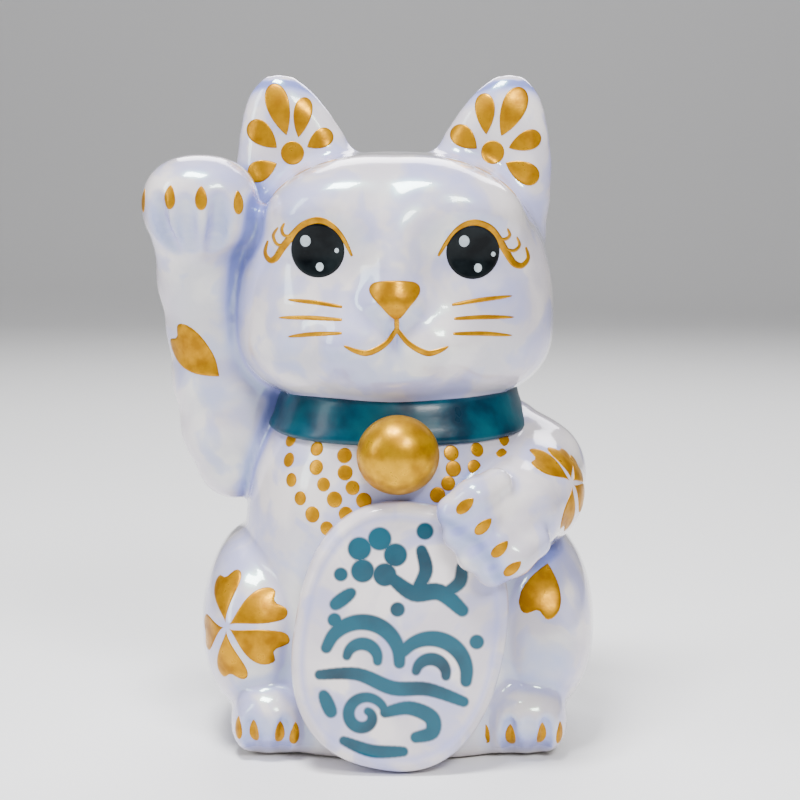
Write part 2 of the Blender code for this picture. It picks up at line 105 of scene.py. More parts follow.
def soft_panel(name, place, aim, size, power, colour=(1, 1, 1)):
    light = bpy.data.lights.new(name, "AREA")
    light.shape = "RECTANGLE"
    light.size, light.size_y = size
    light.energy = power
    light.color = colour
    panel = put(name, light)
    panel.location = place
    panel.rotation_euler = (Vector(aim) - Vector(place)).to_track_quat("-Z", "Y").to_euler()


body_aim = (cat_middle, 0, 0.09)
soft_panel("window_panel", (0.35, -0.75, 0.75), body_aim, (0.32, 0.22), 9.5)
soft_panel("left_panel", (-0.75, -0.35, 0.45), body_aim, (0.16, 0.7), 3.2, (0.95, 0.96, 1.0))
soft_panel("top_panel", (-0.12, -0.22, 0.80), body_aim, (0.24, 0.16), 11)
soft_panel("back_panel", (0.1, 0.7, 0.7), body_aim, (0.8, 0.4), 8)

world = bpy.data.worlds.new("room")
world.use_nodes = True
world.node_tree.nodes["Background"].inputs["Color"].default_value = (0.80, 0.79, 0.78, 1)
world.node_tree.nodes["Background"].inputs["Strength"].default_value = 0.22
bpy.context.scene.world = world


def floor_sweep():
    """A flat floor that curves up into a wall far behind the figure."""
    outline = [(-1.6, 0.0), (1.2, 0.0)]
    for step in range(1, 13):
        turn = math.radians(step * 7.5)
        outline.append((1.2 + 0.6 * math.sin(turn), 0.6 * (1 - math.cos(turn))))
    outline.append((1.8, 2.2))
    points = [(x, y, z) for y, z in outline for x in (-2.4, 2.4)]
    faces = [(i, i + 1, i + 3, i + 2) for i in range(0, len(points) - 2, 2)]
    return mesh_object("floor", points, faces)


floor = floor_sweep()
floor_finish = bpy.data.materials.new("pale_floor")
floor_finish.use_nodes = True
floor_shader = floor_finish.node_tree.nodes["Principled BSDF"]
floor_shader.inputs["Base Color"].default_value = (0.90, 0.90, 0.91, 1)
floor_shader.inputs["Roughness"].default_value = 0.45
floor.data.materials.append(floor_finish)

# ------------------------------------------------------------
# Torso with its haunches: one slip-cast shell, thrown off a plaster mould, glazed all over
# but for the foot rim. Every clay member adds its form to one field of distances, so that
# the luted joints come out as soft fillets, tinted with pooled glaze and painted shade.
# ------------------------------------------------------------

GRID = 0.95 * MM
WALL = 3.5 * MM
MARGIN = 4 * MM
NEAR = 12 * MM
FAR = 50 * MM
LEAST_SLOPE = 8.0

field_low = np.array(cad_box[0]) - MARGIN
field_high = np.array(cad_box[1]) + MARGIN
field_count = np.ceil((field_high - field_low) / GRID).astype(int) + 1
field_axes = [field_low[i] + GRID * np.arange(field_count[i]) for i in range(3)]
clay = np.full(field_count, FAR, np.float32)
cavity = np.full(field_count, FAR, np.float32)
# Pooled glaze tint and painted shade for pressed marks and round the plaque, from 0 to 1.
pool_and_shade_marks = np.zeros(field_count, np.float32)
members = {}


def window(low, high):
    """The stretch of the grid round a box, and its coordinates, ready to broadcast."""
    cut = []
    for axis in range(3):
        start = int((low[axis] - field_low[axis]) / GRID) - 1
        stop = int((high[axis] - field_low[axis]) / GRID) + 3
        cut.append(slice(max(start, 0), min(stop, int(field_count[axis]))))
    x, y, z = (field_axes[axis][cut[axis]].astype(np.float32) for axis in range(3))
    return tuple(cut), x[:, None, None], y[None, :, None], z[None, None, :]


def true_distance(shape):
    """Turns a value that is 1 on the surface into a distance from that surface."""
    slope = np.sqrt(sum(part * part for part in np.gradient(shape, GRID)))
    return ((shape - 1) / np.maximum(slope, LEAST_SLOPE)).astype(np.float32)


def egg(
    centre, left, right, front, back, down, up,
    round_power=2.2, low_power=2.2, top_power=2.2, grow=0.0, turn=None,
):
    """Distance from a rounded lump with its own reach in each direction."""
    centre = np.array(centre, float)
    low, high = np.array((left, front, down)), np.array((right, back, up))
    if turn is not None:
        low = high = max(*low, *high) + grow
    cut, x, y, z = window(centre - low - NEAR, centre + high + NEAR)
    x, y, z = x - centre[0], y - centre[1], z - centre[2]
    if turn is not None:
        rows = np.array(turn.inverted(), np.float32)
        x, y, z = (row[0] * x + row[1] * y + row[2] * z for row in rows)
    across = np.abs(x) / np.where(x > 0, right + grow, left + grow)
    along = np.abs(y) / np.where(y > 0, back + grow, front + grow)
    rise = np.abs(z) / np.where(z > 0, up + grow, down + grow)
    flat = (across ** round_power + along ** round_power) ** (1 / round_power)
    power = np.where(z > 0, top_power, low_power)
    shape = (flat ** power + rise ** power) ** (1 / power)
    return cut, true_distance(shape)


def limb(stations):
    """Distance from a tapered tube through stations of (x, y, z, radius)."""
    stations = np.array(stations, float)
    widest = stations[:, 3].max() + NEAR
    cut, x, y, z = window(stations[:, :3].min(0) - widest, stations[:, :3].max(0) + widest)
    nearest = None
    for start, end in zip(stations[:-1], stations[1:]):
        way = end[:3] - start[:3]
        dot = (x - start[0]) * way[0] + (y - start[1]) * way[1] + (z - start[2]) * way[2]
        share = np.clip(dot / (way @ way), 0, 1)
        gap = np.sqrt(
            (x - start[0] - share * way[0]) ** 2
            + (y - start[1] - share * way[1]) ** 2
            + (z - start[2] - share * way[2]) ** 2
        )
        gap = gap - (start[3] + share * (end[3] - start[3]))
        if nearest is None:
            nearest = gap
        else:
            step = np.clip(3 * MM - np.abs(nearest - gap), 0, None) / (3 * MM)
            nearest = np.minimum(nearest, gap) - step * step * 3 * MM / 4
    return cut, nearest.astype(np.float32)


def meet(first, second, soft):
    """The smaller of two distances, with a fillet, and how near the two surfaces are."""
    near = np.clip(soft - np.abs(first - second), 0, None) / soft
    return np.minimum(first, second) - near * near * soft / 4


def add_clay(member, part, soft=3 * MM):
    """Lutes a form on to what is there already, with a fillet along the joint."""
    cut, distance = part
    if member not in members:
        members[member] = np.full(field_count, FAR, np.float32)
    members[member][cut] = meet(members[member][cut], distance, soft)
    clay[cut] = meet(clay[cut], distance, soft)


def carve_clay(part, soft=1 * MM, pool_and_shade=0.8):
    """Presses a tool into the clay, with a soft edge. The mark gets the lavender tint of pooled glaze,
    which is also painted shade.
    """
    cut, distance = part
    here = clay[cut]
    if pool_and_shade:
        mark = np.clip(1 - np.abs(here + distance) / (1.5 * MM), 0, 1) * pool_and_shade
        pool_and_shade_marks[cut] = np.maximum(pool_and_shade_marks[cut], mark)
    clay[cut] = -meet(-here, distance, soft)


def hollow(part):
    cut, distance = part
    cavity[cut] = np.minimum(cavity[cut], distance)


TORSO_TOP = torso_high.z
TORSO_POWER = 2.3
FOOT_RIM = 5.5 * MM
RECESS_DEPTH = 3 * MM
cat_depth = torso_low.y + 39 * MM
TORSO_LEVELS = [0, 5, 13, 32, 50, 64, 76, 84, 89, 94, 99, 110]
TORSO_SIDES = [44.0, 44.4, 44.9, 44.0, 43.0, 41.5, 39.4, 36.0, 32.6, 31.0, 30.5, 30.5]
TORSO_FRONTS = [36.6, 37.6, 38.3, 39, 39, 38.5, 37.2, 35, 32.8, 31.4, 31, 31]
TORSO_BACKS = [41, 42.6, 43.8, 45, 43.5, 41.4, 38.4, 34.6, 32, 30.4, 30, 30]


def torso_reach(height, rows):
    """How far the torso reaches one way at each height."""
    return np.interp(np.asarray(height) / MM, TORSO_LEVELS, rows).astype(np.float32) * MM


def even_out(reach):
    """Rounds the corners of a reach that was read from a few levels."""
    for _ in range(3):
        reach = np.convolve(np.pad(reach, 2, "edge"), np.ones(5) / 5, "valid")
    return reach


def torso_distance(grow, floor_level, round_edge):
    """The torso as ovals that change with height, standing on a flat base."""
    low = (cat_middle - 60 * MM, cat_depth - 55 * MM, -MARGIN)
    high = (cat_middle + 60 * MM, cat_depth + 58 * MM, TORSO_TOP + 8 * MM)
    cut, x, y, z = window(low, high)
    rows = (TORSO_SIDES, TORSO_FRONTS, TORSO_BACKS)
    side, front, back = (even_out(torso_reach(z[0, 0], row) + grow) for row in rows)
    x = x - cat_middle
    y = y - cat_depth
    across = np.abs(x) / side[None, None, :]
    along = np.abs(y) / np.where(y > 0, back[None, None, :], front[None, None, :])
    shape = (across ** TORSO_POWER + along ** TORSO_POWER) ** (1 / TORSO_POWER)
    walls = true_distance(shape.astype(np.float32))
    walls = -meet(-walls, z - floor_level, round_edge)
    return cut, -meet(-walls, TORSO_TOP - z, 1 * MM)


def haunch(side, grow=0.0):
    centre = (cat_middle + side * 38 * MM, cat_depth, 31 * MM)
    reach = (16 * MM, 16 * MM, 35 * MM, 34 * MM, 25 * MM, 26 * MM)
    return egg(centre, *reach, round_power=2.5, grow=grow)


add_clay("torso", torso_distance(0.0, 0.0, 3.5 * MM))
for side in (-1, 1):
    add_clay("torso", haunch(side), soft=2.5 * MM)
    hollow(haunch(side, -WALL))
hollow(torso_distance(-WALL, RECESS_DEPTH + WALL, 3 * MM))

# ------------------------------------------------------------
# Head: a hollow casting with full cheeks. Brows, eye hollows, nose bridge, whisker pads and
# chin are all modelled in the clay, and the paint later follows them.
# ------------------------------------------------------------

head_low, head_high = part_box("head_shell")
head_x = (head_low.x + head_high.x) / 2
HEAD_SIDE = (head_high.x - head_low.x) / 2
HEAD_FRONT, HEAD_BACK = 37.5 * MM, 36 * MM
HEAD_DOWN, HEAD_UP = 24 * MM, 44.3 * MM
head_y = head_high.y - HEAD_BACK
head_z = head_high.z - HEAD_UP


def head_egg(grow=0.0):
    reach = (HEAD_SIDE, HEAD_SIDE, HEAD_FRONT, HEAD_BACK, HEAD_DOWN, HEAD_UP)
    return egg((head_x, head_y, head_z), *reach, round_power=2.25, low_power=2.8, top_power=2.35, grow=grow)


def face_forms(out, ahead, rise, side, depth, height, turn=0.0):
    """A rounded form on both sides of the face, or one in the middle where out is 0."""
    for way in (-1, 1) if out else (1,):
        centre = (head_x + way * out * MM, head_y - ahead * MM, head_z + rise * MM)
        reach = (side * MM, side * MM, depth * MM, depth * MM, height * MM, height * MM)
        tilt = Matrix.Rotation(math.radians(way * turn), 3, "Y") if turn else None
        yield egg(centre, *reach, 2, 2, 2, turn=tilt)


# Forms in mm: out, ahead, rise, side, depth, height (and turn), then the width of the fillet.
face_lumps = [
    ((0, 23, 27, 20, 13, 13), 12),
    ((18, 21.5, 30, 14, 13.0, 8, 12), 11),
    ((0, 31.8, 13, 6.0, 8.4, 15), 8),
    ((10, 28.8, -4.5, 11.5, 12.5, 9.0), 5),
    ((0, 34.8, 6.5, 7.6, 7.6, 5.0), 4),
    ((0, 26.5, -12.5, 13, 9.4, 5.6), 6),
]
# Dents: form, fillet width, then the share of pooled glaze tint and painted shade in them.
face_dents = [((21, 50.6, 17, 17, 15.5, 12), 7, 0.6), ((0, 42.0, -2, 0.7, 3.4, 4.2), 2.5, 0.2)]
add_clay("head", head_egg(), soft=2 * MM)
for form, soft in face_lumps:
    for part in face_forms(*form):
        add_clay("head", part, soft * MM)
for form, soft, pool_and_shade in face_dents:
    for part in face_forms(*form):
        carve_clay(part, soft * MM, pool_and_shade)
hollow(head_egg(-WALL))

# ------------------------------------------------------------
# Ears: leaf-shaped blades of the same clay, luted behind the brow. Each is hollowed a little
# at the front with a thumb, and its root runs into the head in a soft fillet.
# ------------------------------------------------------------

EAR_LEVELS = [128, 136, 146, 156, 164, 170, 173.5, 176, 178, 179.3, 180.2]
EAR_MIDDLE = [25.0, 25.2, 25.6, 26.6, 28.0, 29.4, 30.2, 30.7, 31.1, 31.3, 31.4]
EAR_HALF = [12.0, 16.0, 17.2, 16.6, 14.2, 11.6, 9.6, 7.7, 5.5, 3.3, 0.6]
EAR_DEPTH = [6.0, 7.8, 8.4, 7.8, 6.8, 5.8, 5.0, 4.2, 3.2, 2.1, 0.5]


def ear(side, low, high):
    """An upright blade as ovals that narrow towards a rounded tip."""
    middle_y = (low.y + high.y) / 2
    room = Vector((8, 8, 0)) * MM
    foot = head_z + 10 * MM
    cut, x, y, z = window((*(low - room).xy, foot), (*(high + room).xy, high.z + 4 * MM))
    height = (z[0, 0] - (high.z - 180 * MM)) / MM
    rows = (EAR_MIDDLE, EAR_HALF, EAR_DEPTH)
    middle, half, depth = (np.interp(height, EAR_LEVELS, row).astype(np.float32) * MM for row in rows)
    across = np.abs(x - (head_x + side * middle)[None, None, :]) / half[None, None, :]
    along = np.abs(y - middle_y) / depth[None, None, :]
    walls = true_distance(np.sqrt(across * across + along * along).astype(np.float32))
    walls = -meet(-walls, high.z - z, 0.5 * MM)
    return cut, -meet(-walls, z - (foot + 4 * MM), 2 * MM)


for side, name in ((-1, "left_ear"), (1, "right_ear")):
    ear_low, ear_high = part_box(name)
    add_clay(name, ear(side, ear_low, ear_high), soft=5 * MM)
    hollow_centre = (head_x + side * 28 * MM, ear_low.y - 6.5 * MM, head_z + 44 * MM)
    lean = Matrix.Rotation(math.radians(side * 10), 3, "Y")
    reach = (12 * MM, 12 * MM, 10 * MM, 10 * MM, 17 * MM, 17 * MM)
    cut, scoop = egg(hollow_centre, *reach, 2, 2, 2, turn=lean)
    scoop = -meet(-scoop, members["head"][cut] - 2 * MM, 3 * MM)
    carve_clay((cut, scoop), soft=3 * MM, pool_and_shade=0.0)

# ------------------------------------------------------------
# Raised arm: cast in its own mould and luted to the shoulder and to the side of the head.
# Its paw bends forward, with toe lines pressed in before firing.
# ------------------------------------------------------------


def add_limb(member, rows, soft, depth=cat_depth):
    """Lutes on a limb. Rows are in mm from the cat's axis: across, back, up and radius."""
    stations = [(cat_middle + x * MM, depth + y * MM, z * MM, radius * MM) for x, y, z, radius in rows]
    add_clay(member, limb(stations), soft)


def press_toe_lines(centre, reach, bearings, rises, radius, depth, soft):
    """Grooves that follow a paw down from one angle to another, tapering at both ends."""
    for bearing in bearings:
        way = Vector((math.sin(math.radians(bearing)), -math.cos(math.radians(bearing)), 0))
        stations = []
        for step in range(9):
            share = step / 8
            angle = math.radians(rises[0] + (rises[1] - rises[0]) * share)
            flat = math.cos(angle)
            spot = Vector((way.x * flat * reach[0], way.y * flat * reach[1], math.sin(angle) * reach[2]))
            proud = 1 + (radius - depth * math.sin(math.pi * share)) / spot.length
            stations.append((*(Vector(centre) + spot * proud), radius))
        carve_clay(limb(stations), soft, pool_and_shade=0.5)


paw_low, paw_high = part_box("raised_arm")
RAISED_PAW = (paw_low.x + 15.5 * MM, paw_low.y + 15 * MM, paw_high.z - 13.5 * MM)
arm_rows = [
    (-45.2, 0.5, 74.5, 10.6),
    (-47.0, 0.0, 84.0, 12.2),
    (-49.4, -0.8, 98.0, 12.0),
    (-50.8, -2.0, 112.0, 11.8),
    (-52.6, -4.5, 125.0, 12.0),
    (-53.2, -9.5, 137.0, 12.4),
]
web_rows = [(-41.0, -2.0, 82.0, 8.5), (-40.5, -2.0, 93.0, 8.5), (-42.5, -2.0, 106.0, 8.5)]
PAW_SIDE, PAW_DEPTH, PAW_UP = 15.4 * MM, 15 * MM, 13.4 * MM
paw_reach = (PAW_SIDE, PAW_SIDE, PAW_DEPTH, PAW_DEPTH, PAW_UP, PAW_UP)
add_limb("raised_arm", arm_rows, soft=2.5 * MM)
add_clay("raised_arm", egg(RAISED_PAW, *paw_reach, 2.3, 2.2, 2.3), soft=3.5 * MM)
add_limb("raised_arm", web_rows, soft=4 * MM)
press_toe_lines(RAISED_PAW, paw_reach[::2], (-38, -9, 23), (8, -52), 1.6 * MM, 0.7 * MM, 1.6 * MM)

# ------------------------------------------------------------
# Lowered arm: a cast clay arm luted to the other shoulder, bent round to lay its paw on the
# plaque. The four fingers are separate rolls that run back into the hand.
# ------------------------------------------------------------

arm_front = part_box("lowered_arm")[0].y
arm_rows = [
    (28.5, -1.0, 78.8, 13.6),
    (35.2, -6.0, 72.0, 15.6),
    (34.8, -18.0, 68.8, 14.3),
    (29.2, -29.5, 65.8, 12.9),
    (24.0, -35.5, 63.2, 11.4),
]
add_limb("lowered_arm", arm_rows, soft=2.5 * MM)
FINGER_RADIUS = 4.4 * MM
finger_tips = [(13.9, 69.0), (15.4, 63.2), (19.0, 57.8), (23.8, 54.0)]
for tip_x, tip_z in finger_tips:
    tip = (cat_middle + tip_x * MM, arm_front + FINGER_RADIUS + 0.2 * MM, tip_z * MM, FINGER_RADIUS)
    knuckle = (tip[0] + 5.5 * MM, tip[1] + 0.8 * MM, tip[2] + 3.4 * MM, FINGER_RADIUS + 0.2 * MM)
    wrist = (tip[0] + 11 * MM, tip[1] + 5.5 * MM, tip[2] + 6 * MM, FINGER_RADIUS)
    add_clay("lowered_arm", limb([tip, knuckle, wrist]), soft=1.8 * MM)

# ------------------------------------------------------------
# Hind feet: two solid lumps pressed in a mould and luted to the front of the base, with toe
# lines pressed in like those of the paws.
# ------------------------------------------------------------

for name, foot_out, half in (("left_hind_foot", -34.2, 10.4), ("right_hind_foot", 33.9, 11.4)):
    foot_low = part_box(name)[0]
    centre = (cat_middle + foot_out * MM, foot_low.y + 15.5 * MM, 8.5 * MM)
    reach = (half * MM, half * MM, 15.5 * MM, 14 * MM, 8.3 * MM, 12.3 * MM)
    add_clay(name, egg(centre, *reach, 2.5, 2.6, 2.3), soft=3 * MM)
    press_toe_lines(centre, reach[::2], (-25, 0, 25), (20, -55), 1.2 * MM, 0.15 * MM, 1.4 * MM)

# ------------------------------------------------------------
# Tail: a low roll of clay, luted along the base and up the back, thinner towards its tip. It
# can't move: it is one with the glazed body.
# ------------------------------------------------------------

tail_rows = [
    (28.0, -9.5, 10.0, 6.4),
    (21.0, -4.2, 11.0, 6.5),
    (13.0, -1.0, 14.5, 6.4),
    (6.5, 0.0, 20.5, 6.2),
    (3.4, 0.0, 28.0, 5.8),
    (4.2, -0.6, 35.5, 5.2),
    (7.6, -1.6, 41.5, 4.6),
]
add_limb("tail", tail_rows, soft=3 * MM, depth=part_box("tail")[1].y - 6.3 * MM)

# ------------------------------------------------------------
# Skin: the glazed surface of every clay member, taken off the field of distances. The foot
# recess, the stopper's hole and the coin slot are cut first, then the pearl glaze goes on.
# ------------------------------------------------------------


def corners(field, offset):
    """The field's values at one corner of every grid cell."""
    return field[tuple(slice(o, field.shape[i] - 1 + o) for i, o in enumerate(offset))]


def skin(field, origin, grid=GRID):
    """Points and four-cornered faces where the field crosses zero, one point to a cell."""
    offsets = [(i, j, k) for i in (0, 1) for j in (0, 1) for k in (0, 1)]
    inside = sum((corners(field, o) < 0).astype(np.int8) for o in offsets)
    cells = np.argwhere((inside > 0) & (inside < 8))
    number = np.full(inside.shape, -1, np.int32)
    number[tuple(cells.T)] = np.arange(len(cells))
    total = np.zeros((len(cells), 3))
    hits = np.zeros(len(cells))
    for start in offsets:
        for axis in range(3):
            if start[axis]:
                continue
            end = list(start)
            end[axis] = 1
            first = field[tuple((cells + start).T)]
            last = field[tuple((cells + end).T)]
            crossed = (first < 0) != (last < 0)
            share = np.where(crossed, first / np.where(crossed, first - last, 1), 0)
            spot = np.array(start, float) + 0.0 * total
            spot[:, axis] += share
            total += spot * crossed[:, None]
            hits += crossed
    points = (cells + total / hits[:, None]) * grid + origin
    faces = []
    for axis in range(3):
        one, two = (axis + 1) % 3, (axis + 2) % 3
        ahead = [slice(None)] * 3
        behind = [slice(None)] * 3
        ahead[axis], behind[axis] = slice(1, None), slice(0, -1)
        below = field[tuple(behind)] < 0
        above = field[tuple(ahead)] < 0
        edges = np.argwhere(below != above)
        keep = (edges[:, one] > 0) & (edges[:, two] > 0)
        keep &= (edges[:, one] < field.shape[one] - 1) & (edges[:, two] < field.shape[two] - 1)
        edges = edges[keep]
        out = below[tuple(edges.T)]
        ring = []
        for step_one, step_two in ((-1, -1), (0, -1), (0, 0), (-1, 0)):
            cell = edges.copy()
            cell[:, one] += step_one
            cell[:, two] += step_two
            ring.append(number[tuple(cell.T)])
        quads = np.stack(ring, 1)
        quads[~out] = quads[~out][:, ::-1]
        faces.append(quads)
    return points, np.concatenate(faces)


def sample(grid, points):
    """The grid's value at any points, blended between the eight nearest."""
    place = (points - field_low) / GRID
    cell = np.clip(np.floor(place).astype(int), 0, np.array(grid.shape) - 2)
    share = place - cell
    value = 0.0
    for i in (0, 1):
        for j in (0, 1):
            for k in (0, 1):
                weight = np.ones(len(points))
                for axis, pick in enumerate((i, j, k)):
                    weight = weight * (share[:, axis] if pick else 1 - share[:, axis])
                value = value + weight * grid[cell[:, 0] + i, cell[:, 1] + j, cell[:, 2] + k]
    return value


def face_sides(faces):
    """The four sides of every face, as pairs of points."""
    return np.concatenate([faces[:, [0, 1]], faces[:, [1, 2]], faces[:, [2, 3]], faces[:, [3, 0]]])


def relax(points, faces, rounds):
    """Evens out a mesh: each point moves towards its neighbours, then part of the way back."""
    pairs = face_sides(faces)
    count = np.bincount(pairs.ravel(), minlength=len(points))[:, None]
    for pull in (0.5, -0.52) * rounds:
        middle = np.zeros_like(points)
        for axis in range(3):
            middle[:, axis] = np.bincount(pairs[:, 0], points[pairs[:, 1], axis], len(points))
            middle[:, axis] += np.bincount(pairs[:, 1], points[pairs[:, 0], axis], len(points))
        points = points + pull * (middle / count - points)
    return points


SEAM_LAP = 1.6 * MM
SEAM_SINK = 0.35 * MM
# Reaches and weights for the painted shade and pooled glaze tint in closed-in joints.
POOL_SHADE_REACHES = [(2.5 * MM, 1.3), (5.5 * MM, 0.9)]
POOL_SHADE_START = 0.10
CRUMB_SHARE = 0.05


def shed_specks(solid):
    """Leaves out lone specks and threads of clay along the split between members."""
    for _ in range(8):
        filled = np.pad(solid < 0, 1)
        beside = np.zeros(solid.shape, int)
        for axis in range(3):
            for way in (-1, 1):
                beside += np.roll(filled, way, axis)[1:-1, 1:-1, 1:-1]
        solid = np.where((solid < 0) & (beside < 2), 0.2 * GRID, solid)
    return solid


def drop_crumbs(points, faces):
    """Leaves out the loose slivers that a split between two members can shed."""
    sides = face_sides(faces)
    group = np.arange(len(points))
    merged = None
    while not np.array_equal(merged, group):
        group = group if merged is None else merged
        lowest = np.minimum(group[sides[:, 0]], group[sides[:, 1]])
        merged = group.copy()
        np.minimum.at(merged, sides[:, 0], lowest)
        np.minimum.at(merged, sides[:, 1], lowest)
        merged = merged[merged]
    kept = np.bincount(group)[group] > CRUMB_SHARE * len(points)
    place = np.cumsum(kept) - 1
    return points[kept], place[faces[kept[faces[:, 0]]]]


def closed_in_shade(points):
    """How closed in the glaze is at each point, from 0 in the open to 1 deep in a joint; this sets the
    painted shade and pooled glaze tint there.
    """
    ways = []
    for axis in range(3):
        step = np.zeros(3)
        step[axis] = GRID
        ways.append(sample(clay, points + step) - sample(clay, points - step))
    ways = np.stack(ways, 1)
    ways /= np.maximum(np.linalg.norm(ways, axis=1), 1e-9)[:, None]
    share = 0.0
    for reach, weight in POOL_SHADE_REACHES:
        gap = sample(clay, points + ways * reach)
        share = share + weight * np.clip((reach - gap) / reach - POOL_SHADE_START, 0, 1)
    return np.clip(share, 0, 1)


def take_skin(member):
    """One clay member's own stretch of the skin, sinking under its neighbours at the joints."""
    mine = members[member]
    others = np.minimum.reduce([grid for name, grid in members.items() if name != member])
    split = (mine - others) / 2 - SEAM_LAP
    sink = np.clip((mine - others) / (2 * SEAM_LAP), 0, 1) * SEAM_SINK
    solid = np.maximum(clay + sink, split)
    solid = np.maximum(solid, -cavity)
    held = np.argwhere(solid < GRID)
    low = np.maximum(held.min(0) - 2, 0)
    high = np.minimum(held.max(0) + 3, solid.shape)
    part = solid[low[0]:high[0], low[1]:high[1], low[2]:high[2]]
    points, faces = drop_crumbs(*skin(shed_specks(part), field_low + low * GRID))
    points = relax(points, faces, 2)
    inside = np.clip(-sample(clay, points) / (1 * MM) - 1, 0, 1)
    # The joints and pressed marks get a share of pooled glaze tint and painted shade.
    pooled_and_shaded = np.maximum(sample(pool_and_shade_marks, points), closed_in_shade(points)) * (1 - inside)
    return mesh_object("glazed_" + member, points, faces, {"pool_and_shade": pooled_and_shaded, "bare": inside})


# Everything stands on one level, ground flat before firing. Then come the recess that
# leaves a foot rim, the stopper's hole and the coin slot.
clay = -meet(-clay, field_axes[2][None, None, :].astype(np.float32) - 0.1 * MM, 1.2 * MM)
recess_cut, recess = torso_distance(-FOOT_RIM, -MARGIN, 0.1 * MM)
recess_height = field_axes[2][recess_cut[2]][None, None, :].astype(np.float32)
carve_clay((recess_cut, np.maximum(recess, recess_height - RECESS_DEPTH)), soft=1 * MM, pool_and_shade=0)

HOLE_RADIUS = 15 * MM
HOLE_DEPTH = 11 * MM
HOLE_CENTRE = (cat_middle, cat_depth + 3 * MM)
SLOT_SIZE = (36 * MM, 5 * MM)
SLOT_LEVEL = TORSO_TOP - 29 * MM
SLOT_START = cat_depth + 24 * MM

hole_room = np.array((20 * MM, 20 * MM, 14 * MM))
hole_middle = np.array((*HOLE_CENTRE, 0))
cut, x, y, z = window(hole_middle - hole_room * (1, 1, 0), hole_middle + hole_room)
hole = np.sqrt((x - HOLE_CENTRE[0]) ** 2 + (y - HOLE_CENTRE[1]) ** 2) - HOLE_RADIUS + 0 * z
carve_clay((cut, np.maximum(hole, z - HOLE_DEPTH)), soft=0.6 * MM, pool_and_shade=0)

slot_low = (cat_middle - 25 * MM, cat_depth + 20 * MM, SLOT_LEVEL - 8 * MM)
slot_high = (cat_middle + 25 * MM, cat_depth + 56 * MM, SLOT_LEVEL + 8 * MM)
cut, x, y, z = window(slot_low, slot_high)
side = np.clip(np.abs(x - cat_middle) - (SLOT_SIZE[0] - SLOT_SIZE[1]) / 2, 0, None)
slot = np.sqrt(side * side + (z - SLOT_LEVEL) ** 2) - SLOT_SIZE[1] / 2 + 0 * y
carve_clay((cut, np.maximum(slot, SLOT_START - y)), soft=1.2 * MM, pool_and_shade=0.5)

# The plaque is luted on later: the belly all round it gets the pooled glaze tint and painted shade.
PLAQUE_SIDE = 27.2 * MM
PLAQUE_UP = 35 * MM
PLAQUE_POWER = 2.4
plaque_low, plaque_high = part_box("plaque")
plaque_spot = Vector((
    (plaque_low.x + plaque_high.x) / 2, plaque_low.y + 2.3 * MM, (plaque_low.z + plaque_high.z) / 2,
))
plaque_turn = Matrix.Rotation(math.radians(10), 3, "Y") @ Matrix.Rotation(math.radians(-4), 3, "X")
plaque_reach = (PLAQUE_SIDE, PLAQUE_SIDE, 14 * MM, 14 * MM, PLAQUE_UP, PLAQUE_UP)
cut, gap = egg(plaque_spot, *plaque_reach, PLAQUE_POWER, PLAQUE_POWER, PLAQUE_POWER, turn=plaque_turn)
pool_and_shade_marks[cut] = np.maximum(pool_and_shade_marks[cut], np.clip(1 - np.abs(gap) / (5 * MM), 0, 1) ** 1.5)

glazed = {member: take_skin(member) for member in members}

# Pearl glaze: a milky white lustre glaze with cloudy brushed patches, lavender blue in the
# joints as pooled glaze and painted shade, with a painted shade blue deepest in them. The foot
# rim is wiped clean before firing and shows the bare clay.


def new_finish(name):
    """A material with a plain Principled shader, its node tree and a way to add nodes."""
    finish = bpy.data.materials.new(name)
    finish.use_nodes = True
    tree = finish.node_tree
    return finish, tree, tree.nodes["Principled BSDF"]


def add_node(tree, kind, inputs=None, **settings):
    """A node with its inputs set or linked. A short kind is a shader node."""
    node = tree.nodes.new(kind if "Node" in kind else "ShaderNode" + kind)
    for key, value in settings.items():
        setattr(node, key, value)
    for key, value in (inputs or {}).items():
        if isinstance(value, bpy.types.NodeSocket):
            tree.links.new(value, node.inputs[key])
        else:
            node.inputs[key].default_value = value
    return node


def noise(tree, place, scale, detail=2.0):
    return add_node(tree, "TexNoise", {"Vector": place, "Scale": scale, "Detail": detail}).outputs[0]


def ramp(tree, source, stops):
    """A colour ramp over a value. Each stop is (position, colour), or (position, grey)."""
    node = add_node(tree, "ValToRGB", {0: source})
    elements = node.color_ramp.elements
    while len(elements) < len(stops):
        elements.new(1.0)
    for element, (position, colour) in zip(elements, stops):
        element.position = position
        element.color = (*(colour if isinstance(colour, tuple) else (colour,) * 3), 1.0)
    return node.outputs[0]


def mix_colour(tree, share, first, second):
    first, second = ((*value, 1.0) if isinstance(value, tuple) else value for value in (first, second))
    return add_node(tree, "Mix", {0: share, 6: first, 7: second}, data_type="RGBA").outputs[2]


def arithmetic(tree, operation, first, second):
    return add_node(tree, "Math", {0: first, 1: second}, operation=operation).outputs[0]


def finish_surface(tree, shader, colour, gloss, bump, constants):
    """Links what varies over the surface and sets the rest on the shader's own sockets."""
    tree.links.new(colour, shader.inputs["Base Color"])
    if gloss:
        tree.links.new(gloss, shader.inputs["Roughness"])
    if bump:
        height, strength, depth = bump
        relief = add_node(tree, "Bump", {"Strength": strength, "Distance": depth, "Height": height})
        tree.links.new(relief.outputs[0], shader.inputs["Normal"])
    for key, value in constants.items():
        shader.inputs[key].default_value = value


